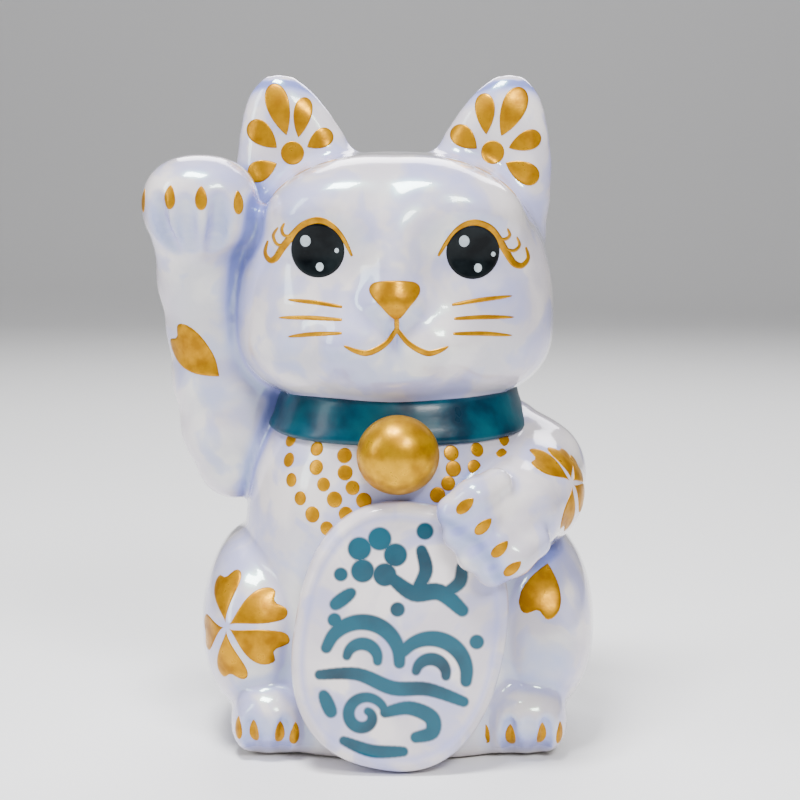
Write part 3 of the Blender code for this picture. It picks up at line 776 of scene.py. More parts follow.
def lustre_group():
    """Cloud: soft brushed patches. Ripple: the glaze surface's slow swell and fine skin."""
    tree = bpy.data.node_groups.new("lustre_clouds", "ShaderNodeTree")
    tree.interface.new_socket("Patch Size", in_out="INPUT", socket_type="NodeSocketFloat")
    for name in ("Cloud", "Tint", "Ripple"):
        tree.interface.new_socket(name, in_out="OUTPUT", socket_type="NodeSocketFloat")
    patch_size = add_node(tree, "NodeGroupInput").outputs["Patch Size"]
    place = add_node(tree, "TexCoord").outputs["Object"]
    sway = add_node(tree, "TexNoise", {"Vector": place, "Scale": 34.0, "Detail": 2.0}).outputs["Color"]
    swayed = {0: sway, 1: (0.022, 0.022, 0.022), 2: place}
    shift = add_node(tree, "VectorMath", operation="MULTIPLY_ADD", inputs=swayed).outputs[0]
    patchy = {"Smoothness": 0.55, "Vector": shift, "Scale": patch_size}
    cells = add_node(tree, "TexVoronoi", patchy, feature="SMOOTH_F1")
    patch = arithmetic(tree, "MULTIPLY", cells.outputs["Distance"], 0.9)
    grain = arithmetic(tree, "MULTIPLY", noise(tree, shift, 120.0, 4.0), 0.55)
    small = arithmetic(tree, "MULTIPLY", noise(tree, place, 420.0, 3.0), 0.06)
    add_node(tree, "NodeGroupOutput", {
        "Cloud": arithmetic(tree, "ADD", patch, grain),
        "Tint": noise(tree, shift, 58.0, 3.0),
        "Ripple": arithmetic(tree, "ADD", noise(tree, place, 48.0), small),
    })
    return tree


LUSTRE = lustre_group()
WARM_WHITE = (0.78, 0.725, 0.725)
COOL_WHITE = (0.60, 0.555, 0.615)
LAVENDER = (0.36, 0.38, 0.70)
SHADE_BLUE = (0.17, 0.20, 0.50)
TEAL_DEEP = (0.0, 0.026, 0.048)
TEAL_LIGHT = (0.0, 0.072, 0.115)
BARE_CLAY = (0.58, 0.50, 0.42)


def lustre_finish(name, sprayed=False):
    """The pearl glaze: over a bare foot rim, or over teal that is sprayed through a stencil."""
    finish, tree, shader = new_finish(name)
    lustre = add_node(tree, "Group", node_tree=LUSTRE)
    lustre.inputs["Patch Size"].default_value = 62.0
    cloud, tint, ripple = (lustre.outputs[key] for key in ("Cloud", "Tint", "Ripple"))
    body = mix_colour(tree, ramp(tree, cloud, [(0.52, 0), (0.82, 1)]), WARM_WHITE, COOL_WHITE)
    body = mix_colour(tree, ramp(tree, tint, [(0.50, 0), (0.545, 0.42), (0.64, 0.75)]), body, LAVENDER)
    pooled_and_shaded = add_node(tree, "Attribute", attribute_name="pool_and_shade").outputs["Fac"]
    depth = arithmetic(tree, "MULTIPLY", pooled_and_shaded, 0.9 if sprayed else 1.0)
    # The joints and marks: a lavender tint for pooled glaze and painted shade, then a deeper painted shade
    # blue where they are most closed in.
    body = mix_colour(tree, ramp(tree, depth, [(0.03, 0), (0.6, 1)]), body, LAVENDER)
    body = mix_colour(tree, ramp(tree, depth, [(0.55, 0), (1.0, 0.9)]), body, SHADE_BLUE)
    gloss = ramp(tree, cloud, [(0.3, 0.10), (0.8, 0.24)])
    if sprayed:
        constants = {"IOR": 1.33, "Coat Weight": 0.45, "Coat Roughness": 0.03}
        spray = add_node(tree, "Attribute", attribute_name="paint").outputs["Fac"]
        teal = ramp(tree, cloud, [(0.35, TEAL_DEEP), (0.8, TEAL_LIGHT)])
        body = mix_colour(tree, ramp(tree, spray, [(0.15, 0), (0.45, 0.6), (0.8, 1)]), body, teal)
    else:
        constants = {
            "IOR": 1.5, "Coat Weight": 1.0, "Coat Roughness": 0.03,
            "Thin Film Thickness": 420, "Thin Film IOR": 1.6,
        }
        split = add_node(tree, "SeparateXYZ", {0: add_node(tree, "TexCoord").outputs["Object"]})
        rim = ramp(tree, split.outputs["Z"], [(0.0009, 1), (0.0014, 0)])
        unglazed = add_node(tree, "Attribute", attribute_name="bare").outputs["Fac"]
        bare = arithmetic(tree, "MAXIMUM", rim, unglazed)
        body = mix_colour(tree, bare, body, BARE_CLAY)
        gloss = mix_colour(tree, bare, gloss, (0.8, 0.8, 0.8))
    finish_surface(tree, shader, body, gloss, (ripple, 0.35, 0.9 * MM), constants)
    return finish


def dress(piece, finish, node=None, body="figurine"):
    """Gives a piece its finish and its body, and hides the CAD node that it stands for."""
    piece.data.materials.append(finish)
    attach(piece, body)
    if node:
        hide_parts(node)


pearl_finish = lustre_finish("pearl_lustre_glaze")
shell_nodes = {"torso": "torso_shell", "head": "head_shell"}
for member, piece in glazed.items():
    dress(piece, pearl_finish, shell_nodes.get(member, member))

# ------------------------------------------------------------
# Gilding: bright gold lustre paint laid over the glaze by hand and fired once more. It
# stands a little proud, so every mark is its own thin skin that follows the glaze.
# ------------------------------------------------------------

PAINT_RISE = 0.14 * MM
PAINT_DEPTH = 0.35 * MM
BRUSH_OFF = 120 * MM


def skin_tree(member):
    mesh = glazed[member].data
    points = [vertex.co.copy() for vertex in mesh.vertices]
    return BVHTree.FromPolygons(points, [tuple(face.vertices) for face in mesh.polygons])


skins = {member: skin_tree(member) for member in members}


def brush(bearing=0.0, rise=0.0, spot=None):
    """A brush that comes from a bearing round the cat (0 is the front) and a rise above level.
    Its marks are measured from a spot, or from the cat's own axis at floor level."""
    turn, tip = math.radians(bearing), math.radians(rise)
    facing = Vector((math.sin(turn) * math.cos(tip), -math.cos(turn) * math.cos(tip), math.sin(tip)))
    right = Vector((math.cos(turn), math.sin(turn), 0))
    return spot or Vector((cat_middle, cat_depth, 0)), right, facing.cross(right), facing


def touch(member, hand, across, level):
    """Where the brush meets the glaze, and which way the glaze faces there."""
    origin, right, up, facing = hand
    start = origin + right * across + up * level + facing * BRUSH_OFF
    spot, normal, _, _ = skins[member].ray_cast(start, -facing)
    if spot is None:
        spot, normal, _, _ = skins[member].find_nearest(start - facing * BRUSH_OFF)
    if normal.dot(facing) < 0:
        normal = -normal
    return spot, normal


def spot_on(member, across, level, bearing=0.0):
    return touch(member, brush(bearing), across * MM, level * MM)[0]


class Paint:
    """Collects marks of one colour, then becomes one object."""

    def __init__(self):
        self.points = []
        self.faces = []

    def add_sheet(self, member, hand, rows, rises, closed):
        """A closed skin over rows of (across, level) pairs in mm, each row with its rise."""
        count = len(rows[0])
        start = len(self.points)
        spots = [[touch(member, hand, a * MM, b * MM) for a, b in row] for row in rows]
        for sign in (1, 0):
            for row, lift in zip(spots, rises):
                for step, (spot, normal) in enumerate(row):
                    high = lift[step] if isinstance(lift, (list, tuple)) else lift
                    self.points.append(spot + normal * (high if sign else -PAINT_DEPTH))
        low = len(rows) * count
        last = count if closed else count - 1
        for level in range(len(rows) - 1):
            for step in range(last):
                a = start + level * count + step
                b = start + level * count + (step + 1) % count
                self.faces.append((a, b, b + count, a + count))
                self.faces.append((a + low + count, b + low + count, b + low, a + low))
        for step in range(last):
            a, b = start + step, start + (step + 1) % count
            self.faces.append((b, a, a + low, b + low))
            if not closed:
                c, d = a + (len(rows) - 1) * count, b + (len(rows) - 1) * count
                self.faces.append((c, d, d + low, c + low))
        if not closed:
            for level in range(len(rows) - 1):
                a = start + level * count
                self.faces.append((a, a + count, a + count + low, a + low))
                a += count - 1
                self.faces.append((a + count, a, a + low, a + count + low))
            return
        for side in (0, low):
            inner = [start + side + (len(rows) - 1) * count + step for step in range(count)]
            self.faces.append(inner if side == 0 else inner[::-1])

    def patch(self, member, hand, outline, rise=PAINT_RISE):
        """A mark with a closed outline of (across, level) pairs."""
        middle_a = sum(point[0] for point in outline) / len(outline)
        middle_b = sum(point[1] for point in outline) / len(outline)
        shares = [1.0, 0.96, 0.88, 0.72, 0.54, 0.36, 0.18, 0.05]
        rises = [0.0, 0.75, 1.0, 1.0, 0.95, 0.9, 0.9, 0.9]
        rows = []
        for share in shares:
            rows.append([
                (middle_a + (a - middle_a) * share, middle_b + (b - middle_b) * share)
                for a, b in outline
            ])
        self.add_sheet(member, hand, rows, [rise * lift for lift in rises], True)

    def stroke(self, member, hand, route, width, thin_start=0.25, thin_end=0.12, rise=PAINT_RISE):
        """A brush line through a few places, widest in the middle, tapering to both ends."""
        line = flowing(route, 10)
        rows = []
        for index, (a, b) in enumerate(line):
            before = line[max(index - 1, 0)]
            after = line[min(index + 1, len(line) - 1)]
            way_a, way_b = after[0] - before[0], after[1] - before[1]
            length = math.hypot(way_a, way_b)
            share = index / (len(line) - 1)
            swell = math.sin(math.pi * share) ** 0.7
            thin = thin_start + (thin_end - thin_start) * share
            half = width / 2 * (thin + (1 - thin) * swell)
            out = (-way_b / length * half, way_a / length * half)
            rows.append([(a + out[0] * k, b + out[1] * k) for k in (1, 0.55, 0, -0.55, -1)])
        lifts = [[0.0, rise * 0.8, rise, rise * 0.8, 0.0]] * len(rows)
        self.add_sheet(member, hand, rows, lifts, False)

    def done(self, name, finish):
        dress(face_outwards(mesh_object(name, self.points, self.faces)), finish)


def face_outwards(piece):
    """Turns every face of a closed form outwards."""
    shell = bmesh.new()
    shell.from_mesh(piece.data)
    bmesh.ops.recalc_face_normals(shell, faces=shell.faces)
    shell.to_mesh(piece.data)
    shell.free()
    return piece


def flowing(route, steps, loop=False):
    """A smooth line through a few (across, level) places."""
    count = len(route)
    spans = count if loop else count - 1
    line = []
    for span in range(spans):
        near = []
        for offset in (-1, 0, 1, 2):
            index = span + offset
            near.append(route[index % count if loop else min(max(index, 0), count - 1)])
        for step in range(steps + (not loop and span == spans - 1)):
            t = step / steps
            weights = (
                -0.5 * t + t * t - 0.5 * t ** 3,
                1 - 2.5 * t * t + 1.5 * t ** 3,
                0.5 * t + 2 * t * t - 1.5 * t ** 3,
                -0.5 * t * t + 0.5 * t ** 3,
            )
            line.append(tuple(sum(w * q[axis] for w, q in zip(weights, near)) for axis in (0, 1)))
    return line


def disc(across, level, radius, tall=1.0, count=28):
    turns = [2 * math.pi * step / count for step in range(count)]
    return [(across + radius * math.cos(t), level + radius * tall * math.sin(t)) for t in turns]


def petal(root, tip, width, point=1.0, notch=0.0, count=44):
    """A drop from its pointed root to its round end, which may be notched like a blossom's."""
    way = (tip[0] - root[0], tip[1] - root[1])
    side = (-way[1] / math.hypot(*way), way[0] / math.hypot(*way))
    turns = [2 * math.pi * (step + 0.5) / count for step in range(count)]
    widest = max(math.sin(t) * math.sin(t / 2) ** point for t in turns)
    outline = []
    for t in turns:
        along = (1 - math.cos(t)) / 2
        along -= notch * math.exp(-((t - math.pi) / 0.3) ** 2)
        out = width / 2 * math.sin(t) * math.sin(t / 2) ** point / widest
        outline.append((root[0] + way[0] * along + side[0] * out, root[1] + way[1] * along + side[1] * out))
    return outline


def noise_finish(name, drift, colours, glosses, bump, constants):
    """A finish whose colour and gloss drift with one noise, given as (scale, detail). The bump
    is (noise scale, strength, depth), or has no scale where it follows the same noise."""
    finish, tree, shader = new_finish(name)
    place = add_node(tree, "TexCoord").outputs["Object"]
    varied = noise(tree, place, *drift)
    if bump:
        bump = (noise(tree, place, bump[0]) if bump[0] else varied, *bump[1:])
    gloss = ramp(tree, varied, glosses) if glosses else None
    finish_surface(tree, shader, ramp(tree, varied, colours), gloss, bump, constants)
    return finish


def gold_finish(name, thin, thick, metallic, coat):
    """Gold lustre, browner where the brush left it thin."""
    return noise_finish(
        name, (260.0, 3.0), [(0.35, thin), (0.62, thick)], [(0.3, 0.42), (0.7, 0.26)],
        (1500.0, 0.25, 0.1 * MM),
        {"Metallic": metallic, "IOR": 1.22, "Coat Weight": coat, "Coat Roughness": 0.08},
    )


gold_paint = gold_finish("gold_lustre_paint", (0.34, 0.145, 0.0), (0.54, 0.255, 0.0), 0.55, 0.0)
front = brush()

# Half daisies inside the ears: a disc and five petals each.
daisies = Paint()
left_petals = [
    ((-30.2, 163.6), (-34.0, 177.4), 6.4),
    ((-27.0, 163.0), (-24.9, 173.8), 5.0),
    ((-32.8, 160.2), (-40.4, 167.0), 6.2),
    ((-24.6, 160.4), (-17.8, 164.4), 5.2),
    ((-32.8, 156.0), (-40.6, 152.6), 5.8),
]
right_petals = [
    ((23.9, 163.8), (23.3, 174.9), 5.4),
    ((28.0, 163.4), (33.6, 176.4), 6.8),
    ((30.0, 160.2), (38.8, 163.6), 5.4),
    ((29.2, 156.2), (38.2, 151.6), 6.0),
    ((21.4, 160.0), (14.8, 165.6), 5.8),
]
for member, centre, rows in (
    ("left_ear", (-28.6, 158.8), left_petals),
    ("right_ear", (25.7, 159.0), right_petals),
):
    daisies.patch(member, front, disc(*centre, 3.2))
    for root, tip, width in rows:
        daisies.patch(member, front, petal(root, tip, width, 0.8))
daisies.done("gilded_ear_daisies", gold_paint)

# Claws on all four paws: short drops that point back from the toes.
claws = Paint()
upper_claws = [(-66.2, 146.4, -62), (-58.6, 147.4, -30), (-50.3, 147.2, 0), (-41.0, 146.0, 32)]
for across, level, bearing in upper_claws:
    hand = brush(bearing, 0, spot_on("raised_arm", across, level))
    claws.patch("raised_arm", hand, petal((0, 3.3), (0, -2.9), 3.2, 0.45))
for across, level in ((16.8, 71.3), (21.4, 66.0), (25.6, 60.2), (28.8, 55.2)):
    hand = brush(5, -3, spot_on("lowered_arm", across, level))
    claws.patch("lowered_arm", hand, petal((2.1, 2.0), (-2.0, -1.8), 2.9, 0.45))
left_toes = [(-42.0, 9.0, -32), (-37.6, 8.6, -12), (-31.0, 8.2, 12), (-26.9, 7.6, 32)]
right_toes = [(22.7, 7.2, -48), (29.6, 7.2, -14), (37.6, 7.8, 12), (42.6, 7.6, 38)]
for member, toes in (("left_hind_foot", left_toes), ("right_hind_foot", right_toes)):
    for across, level, bearing in toes:
        hand = brush(bearing, 0, spot_on(member, across, level))
        claws.patch(member, hand, petal((0, 3.4), (0, -2.9), 2.8, 0.45))
claws.done("gilded_claws", gold_paint)

# Blossoms: one on the left haunch, one over the shoulder, and two loose petals.
blossoms = Paint()


def blossom(member, hand, petals, width, heart=1.0, notch=0.15):
    for turn, reach in petals:
        way = (math.cos(math.radians(turn)), math.sin(math.radians(turn)))
        root = (way[0] * heart, way[1] * heart)
        tip = (way[0] * reach, way[1] * reach)
        blossoms.patch(member, hand, petal(root, tip, width, 2.0, notch))


haunch_hand = brush(-36, 8, spot_on("torso", -45.0, 35.7))
blossom("torso", haunch_hand, [(112, 15.4), (38, 14.0), (-25, 14.0), (-88, 14.8), (-162, 13.5)], 9.6)
shoulder_hand = brush(50, 13, spot_on("lowered_arm", 45.6, 73.0))
blossom("lowered_arm", shoulder_hand, [(132, 12.6), (78, 10.6), (24, 10.5), (-36, 10.5), (-103, 12.8)], 8.0)
knee_hand = brush(10, 20, spot_on("torso", 37.4, 44.0))
blossoms.patch("torso", knee_hand, petal((3.6, 8.6), (-2.0, -6.8), 10.8, 1.0, 0.17))
arm_hand = brush(-28, -6, spot_on("raised_arm", -55.4, 106.2))
blossoms.patch("raised_arm", arm_hand, petal((7.0, -7.0), (-6.6, 5.6), 11.8, 1.0, 0.16))
blossoms.done("gilded_blossoms", gold_paint)

# Face: gold lids with lashes, nose, mouth and whiskers, drawn with a fine brush.
face_gold = Paint()
lid_left = [
    (-11.6, 133.0), (-13.8, 137.4), (-16.6, 140.6), (-20.0, 142.0), (-23.8, 140.8), (-26.8, 138.0),
    (-29.4, 135.0), (-31.6, 131.9), (-33.3, 131.5), (-34.4, 133.4), (-33.6, 136.4),
]
lid_right = [
    (10.2, 133.0), (12.9, 137.3), (15.9, 140.3), (19.4, 141.4), (23.2, 140.0), (25.6, 137.2),
    (28.2, 133.0), (30.0, 130.6), (32.2, 130.0), (33.9, 131.8), (33.2, 134.6),
]
lashes = [
    [(-28.6, 135.6), (-31.0, 135.6), (-32.0, 137.8), (-30.6, 140.0)],
    [(-26.8, 138.0), (-29.0, 138.0), (-29.6, 139.6), (-28.8, 141.2)],
    [(27.4, 134.6), (29.8, 133.9), (31.4, 135.2), (30.6, 137.4)],
    [(25.4, 137.4), (27.4, 137.0), (28.6, 138.0), (27.9, 139.8)],
]
nose = [
    (-0.4, 117.2), (3.0, 120.6), (5.6, 124.2), (4.4, 126.6), (-0.8, 127.2), (-6.0, 126.6),
    (-7.2, 124.2), (-4.2, 120.6),
]
left_smile = [(-0.3, 114.8), (-3.0, 111.2), (-7.2, 109.0), (-10.4, 109.4), (-13.6, 110.8)]
right_smile = [(-0.3, 114.8), (2.8, 111.2), (7.0, 109.0), (9.8, 109.3), (12.7, 110.6)]
for lid in (lid_left, lid_right):
    face_gold.stroke("head", front, lid, 2.0, 0.3, 0.25)
for lash in lashes:
    face_gold.stroke("head", front, lash, 1.0, 0.5, 0.3)
face_gold.patch("head", front, flowing(nose, 6, loop=True), rise=0.25 * MM)
face_gold.stroke("head", front, [(-0.4, 118.4), (-0.3, 116.4), (-0.3, 113.6)], 1.3, 0.8, 0.8)
for smile in (left_smile, right_smile):
    face_gold.stroke("head", front, smile, 1.6, 0.7, 0.15)
for start, end in (
    ((-14.1, 120.2), (-28.2, 121.6)), ((-14.1, 117.1), (-30.6, 116.9)), ((-14.1, 113.9), (-28.2, 112.1)),
    ((13.7, 120.7), (29.4, 122.4)), ((14.2, 117.3), (29.9, 116.9)), ((13.9, 113.7), (29.4, 112.2)),
):
    middle = ((start[0] + end[0]) / 2, (start[1] + end[1]) / 2 + 0.25)
    face_gold.stroke("head", front, [start, middle, end], 1.2, 0.5, 0.1)
face_gold.done("gilded_face_lines", gold_paint)

# ------------------------------------------------------------
# Eyes: discs of thick black enamel under the gold lids, each with three dots of white. They
# are painted over the glaze and fired with the gold, so they stand a little proud.
# ------------------------------------------------------------

eye_finish = noise_finish(
    "black_enamel", (150.0, 3.0),
    [(0.35, (0.002, 0.003, 0.004)), (0.7, (0.010, 0.014, 0.016))], [(0.3, 0.05), (0.7, 0.12)],
    None, {"IOR": 1.25, "Specular IOR Level": 0.3, "Coat Roughness": 0.03},
)
white_dot_finish = noise_finish(
    "white_enamel", (400.0, 2.0),
    [(0.3, (0.38, 0.46, 0.50)), (0.7, (0.55, 0.62, 0.66))], None, None, {"Roughness": 0.2},
)

eyes = Paint()
eye_dots = Paint()
eye_rows = [
    ((-20.4, 134.3), [(-23.4, 136.8, 1.4), (-15.4, 134.4, 0.6), (-19.8, 130.1, 1.05)]),
    ((19.1, 133.9), [(16.7, 136.8, 1.4), (24.2, 133.3, 0.6), (20.3, 129.8, 1.05)]),
]
for centre, dots in eye_rows:
    eyes.patch("head", front, disc(*centre, 6.9, 1.0, 56), rise=0.3 * MM)
    for across, level, radius in dots:
        eye_dots.patch("head", front, disc(across, level, radius, 1.12, 24), rise=0.42 * MM)
eyes.done("eye_enamel", eye_finish)
eye_dots.done("eye_light_dots", white_dot_finish)

# ------------------------------------------------------------
# Bib: strings of gold beads painted on the chest over the glaze, from under the collar. Each
# bead is one dot of thick lustre paint, so no two are quite the same size.
# ------------------------------------------------------------

bead_strings = [
    ([(-28.2, 84.0), (-28.4, 75.6), (-24.2, 68.0), (-18.4, 62.6)], 6),
    ([(-21.1, 82.6), (-20.6, 76.0), (-13.4, 66.6)], 5),
    ([(-13.8, 81.4), (-13.2, 75.6), (-8.8, 70.2)], 4),
    ([(13.8, 82.0), (14.3, 78.0), (13.2, 74.8), (10.2, 71.6)], 4),
    ([(20.6, 82.4), (19.8, 78.2)], 2),
    ([(28.0, 84.0), (27.2, 80.9)], 2),
]


def bead_places():
    """Evenly spaced places along each string, on the glaze, with the way it faces."""
    spots, facings = [], []
    for route, count in bead_strings:
        line = flowing(route, 24)
        lengths = [0.0]
        for start, end in zip(line, line[1:]):
            lengths.append(lengths[-1] + math.dist(start, end))
        for bead in range(count):
            at = lengths[-1] * bead / (count - 1)
            a, b = (float(np.interp(at, lengths, [point[axis] for point in line])) for axis in (0, 1))
            start = front[0] + front[1] * a * MM + front[2] * b * MM + front[3] * BRUSH_OFF
            spot, normal = skins["torso"].ray_cast(start, -front[3])[:2]
            spots.append(spot)
            facings.append(normal)
    return spots, facings


def bead_tree(finish):
    """Sets a flat round dot of paint on every point, facing the way the glaze faces."""
    tree = bpy.data.node_groups.new("painted_beads", "GeometryNodeTree")
    tree.interface.new_socket("Geometry", in_out="INPUT", socket_type="NodeSocketGeometry")
    for name in ("Bead Radius", "Bead Rise", "Hand Unevenness"):
        tree.interface.new_socket(name, in_out="INPUT", socket_type="NodeSocketFloat")
    tree.interface.new_socket("Geometry", in_out="OUTPUT", socket_type="NodeSocketGeometry")
    start = add_node(tree, "NodeGroupInput").outputs
    ball = add_node(tree, "GeometryNodeMeshUVSphere", {"Segments": 24, "Rings": 12, "Radius": 1.0})
    radius = start["Bead Radius"]
    flat = add_node(tree, "CombineXYZ", {0: radius, 1: radius, 2: start["Bead Rise"]})
    facing = add_node(
        tree, "GeometryNodeInputNamedAttribute", {"Name": "facing"}, data_type="FLOAT_VECTOR",
    )
    turn = add_node(tree, "FunctionNodeAlignRotationToVector", {"Vector": facing.outputs[0]}, axis="Z")
    least = arithmetic(tree, "SUBTRACT", 1.0, start["Hand Unevenness"])
    uneven = add_node(
        tree, "FunctionNodeRandomValue", {"Seed": 7, 2: least, 3: 1.0}, data_type="FLOAT",
    )
    sized = {0: flat.outputs[0], "Scale": uneven.outputs[1]}
    size = add_node(tree, "VectorMath", operation="SCALE", inputs=sized)
    copies = add_node(tree, "GeometryNodeInstanceOnPoints", {
        "Points": start["Geometry"],
        "Instance": ball.outputs["Mesh"],
        "Rotation": turn.outputs["Rotation"],
        "Scale": size.outputs[0],
    })
    real = add_node(tree, "GeometryNodeRealizeInstances", {0: copies.outputs[0]})
    smooth = add_node(tree, "GeometryNodeSetShadeSmooth", {"Geometry": real.outputs[0]})
    paint = {"Geometry": smooth.outputs[0], "Material": finish}
    painted = add_node(tree, "GeometryNodeSetMaterial", paint)
    add_node(tree, "NodeGroupOutput", {0: painted.outputs[0]})
    return tree


def grown(name, source, tree, sizes):
    """Runs a geometry tree on a mesh and keeps the result as a plain object."""
    base = put(name + "_base", source)
    step = base.modifiers.new("growth", "NODES")
    step.node_group = tree
    for item in tree.interface.items_tree:
        if item.item_type == "SOCKET" and item.in_out == "INPUT" and item.name in sizes:
            step[item.identifier] = sizes[item.name]
    graph = bpy.context.evaluated_depsgraph_get()
    mesh = bpy.data.meshes.new_from_object(base.evaluated_get(graph), depsgraph=graph)
    mesh.name = name
    base.modifiers.clear()
    bpy.data.objects.remove(base)
    return put(name, mesh)


bead_spots, bead_facings = bead_places()
bead_mesh = bpy.data.meshes.new("bead_points")
bead_mesh.from_pydata(bead_spots, [], [])
facing_layer = bead_mesh.attributes.new("facing", "FLOAT_VECTOR", "POINT")
facing_layer.data.foreach_set("vector", [part for normal in bead_facings for part in normal])
bead_sizes = {"Bead Radius": 2.15 * MM, "Bead Rise": 0.24 * MM, "Hand Unevenness": 0.14}
beads = grown("gilded_bib_beads", bead_mesh, bead_tree(gold_paint), bead_sizes)
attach(beads, "figurine")

# ------------------------------------------------------------
# Collar: a band of clay round the neck, painted in a deep teal glaze. It leans out with the
# shoulders and its edges are rounded by the sponge.
# ------------------------------------------------------------

COLLAR_OUT = 2.0 * MM
COLLAR_LOW = 85.8 * MM
COLLAR_TALL = 11.6 * MM
COLLAR_SLOPE = 0.055
COLLAR_REACH = 34 * MM


def collar_band():
    """A closed band: rows of points round the neck, from the lower edge to the upper one."""
    rows = [
        (0.0, -1.2), (0.01, 0.6), (0.045, 1.8), (0.10, 2.5), (0.2, 2.9), (0.35, 3.0), (0.5, 3.0),
        (0.65, 2.95), (0.8, 2.8), (0.9, 2.4), (0.97, 1.6), (1.0, 0.3), (1.0, -1.2),
    ]
    count = 180
    points = []
    for share, out in rows:
        for step in range(count):
            turn = 2 * math.pi * step / count
            across, along = math.cos(turn), math.sin(turn)
            level = COLLAR_LOW + COLLAR_TALL * share + COLLAR_SLOPE * along * COLLAR_REACH
            side = torso_reach(level, TORSO_SIDES)
            depth = torso_reach(level, TORSO_BACKS if along > 0 else TORSO_FRONTS)
            wave = 0.12 * MM * math.sin(3 * turn + 0.6) + 0.08 * MM * math.sin(7 * turn)
            grow = (out / 3.0 * COLLAR_OUT + wave) if out > 0 else out * MM
            power = 2 / TORSO_POWER
            points.append((
                cat_middle + math.copysign(abs(across) ** power, across) * (side + grow),
                cat_depth + math.copysign(abs(along) ** power, along) * (depth + grow),
                level,
            ))
    faces = []
    for level in range(len(rows)):
        for step in range(count):
            a = level * count + step
            b = level * count + (step + 1) % count
            c, d = (b + count) % len(points), (a + count) % len(points)
            faces.append((a, b, c, d))
    return mesh_object("teal_collar_band", points, faces)


collar_finish = noise_finish(
    "deep_teal_glaze", (95.0, 4.0),
    [(0.36, (0.0, 0.020, 0.042)), (0.5, (0.0, 0.046, 0.076)), (0.68, (0.002, 0.08, 0.11))],
    [(0.3, 0.26), (0.7, 0.42)], (None, 0.4, 0.6 * MM),
    {"IOR": 1.33, "Coat Weight": 0.15, "Coat Roughness": 0.12},
)
dress(collar_band(), collar_finish, "collar")

# ------------------------------------------------------------
# Bell: a pressed ball of clay, luted to the collar under the chin. It is gilded all over
# with a thicker coat of the same lustre paint.
# ------------------------------------------------------------

BELL_SIDE, BELL_DEPTH, BELL_UP = 10.6 * MM, 9.2 * MM, 10.2 * MM
bell_low, bell_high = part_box("bell")
bell_level = (bell_low.z + bell_high.z) / 2 - 0.6 * MM


def shell_object(name, shell):
    """Turns a finished shell into a smooth object."""
    mesh = bpy.data.meshes.new(name)
    shell.to_mesh(mesh)
    shell.free()
    mesh.shade_smooth()
    return put(name, mesh)


bell_shell = bmesh.new()
bmesh.ops.create_uvsphere(bell_shell, u_segments=96, v_segments=56, radius=1.0)
for vertex in bell_shell.verts:
    spot = vertex.co
    uneven = 1 + 0.004 * math.sin(3 * spot.x + 2 * spot.z) + 0.003 * math.sin(5 * spot.y + 1)
    vertex.co = Vector((
        cat_middle + spot.x * BELL_SIDE * uneven,
        bell_low.y + 9.3 * MM + spot.y * BELL_DEPTH * uneven,
        bell_level + spot.z * BELL_UP * uneven,
    ))
bell_finish = gold_finish("gold_lustre_thick", (0.38, 0.175, 0.0), (0.62, 0.32, 0.0), 0.7, 0.06)
dress(shell_object("gilded_ball", bell_shell), bell_finish, "bell")

# ------------------------------------------------------------
# Plaque: a press-moulded oval tablet with a raised rim, held against the belly. Its face is
# sprayed through a stencil in teal under the pearl glaze: a plum spray, waves and a cloud.
# ------------------------------------------------------------

PLAQUE_GRID = 0.35 * MM
PLAQUE_RIM = 3.4 * MM
PLAQUE_DISH = 0.5 * MM
PLAQUE_BEHIND = 12 * MM


def ring_route(centre, radius, turn_from, turn_to, count=9, shrink=0.0):
    """A round arc, or a spiral where the radius shrinks on the way."""
    route = []
    for step in range(count):
        share = step / (count - 1)
        turn = math.radians(turn_from + (turn_to - turn_from) * share)
        reach = radius * (1 - shrink * share)
        route.append((centre[0] + reach * math.cos(turn), centre[1] + reach * math.sin(turn)))
    return route


# Stencil strokes in mm from the plaque's middle: a route and a width.
stencil = [
    ([(-4.5, 15.0), (1.5, 12.2), (8.0, 13.6), (14.5, 10.0)], 4.4),
    ([(2.0, 13.2), (3.6, 18.4), (1.6, 23.4)], 3.6),
    ([(9.0, 13.2), (12.6, 17.0), (12.4, 21.0)], 3.4),
    ([(-14.2, 9.6), (-17.6, 6.0)], 3.6),
    (ring_route((-8.5, -6.8), 9.6, 172, 4), 4.2),
    (ring_route((-8.5, -6.8), 4.0, 178, 2), 3.4),
    (ring_route((9.5, -7.6), 9.2, 152, -2), 4.2),
    (ring_route((9.5, -7.6), 3.9, 178, 2), 3.4),
    ([(-18.5, -12.6), (-9.0, -10.8), (0.5, -12.8), (9.5, -11.6), (19.0, -13.2)], 3.8),
    (ring_route((-5.5, -21.2), 5.6, 20, 420, 19, 0.72), 3.2),
    ([(-0.3, -19.4), (5.5, -17.2), (11.5, -18.6), (12.4, -22.4), (8.6, -24.4)], 4.0),
    ([(-9.5, -28.4), (-2.0, -29.8), (6.0, -28.6)], 3.4),
    ([(-16.6, -17.6), (-14.0, -21.6)], 3.6),
]
stencil_dots = [(-17.6, 13.8, 1.9), (1.6, 28.4, 2.3), (-1.8, 7.4, 2.0), (19.6, 2.6, 2.0), (-17.2, 2.0, 1.9)]
for step in range(5):
    turn = math.radians(90 + 72 * step)
    stencil_dots.append((-9.4 + 4.9 * math.cos(turn), 19.6 + 4.9 * math.sin(turn), 3.1))


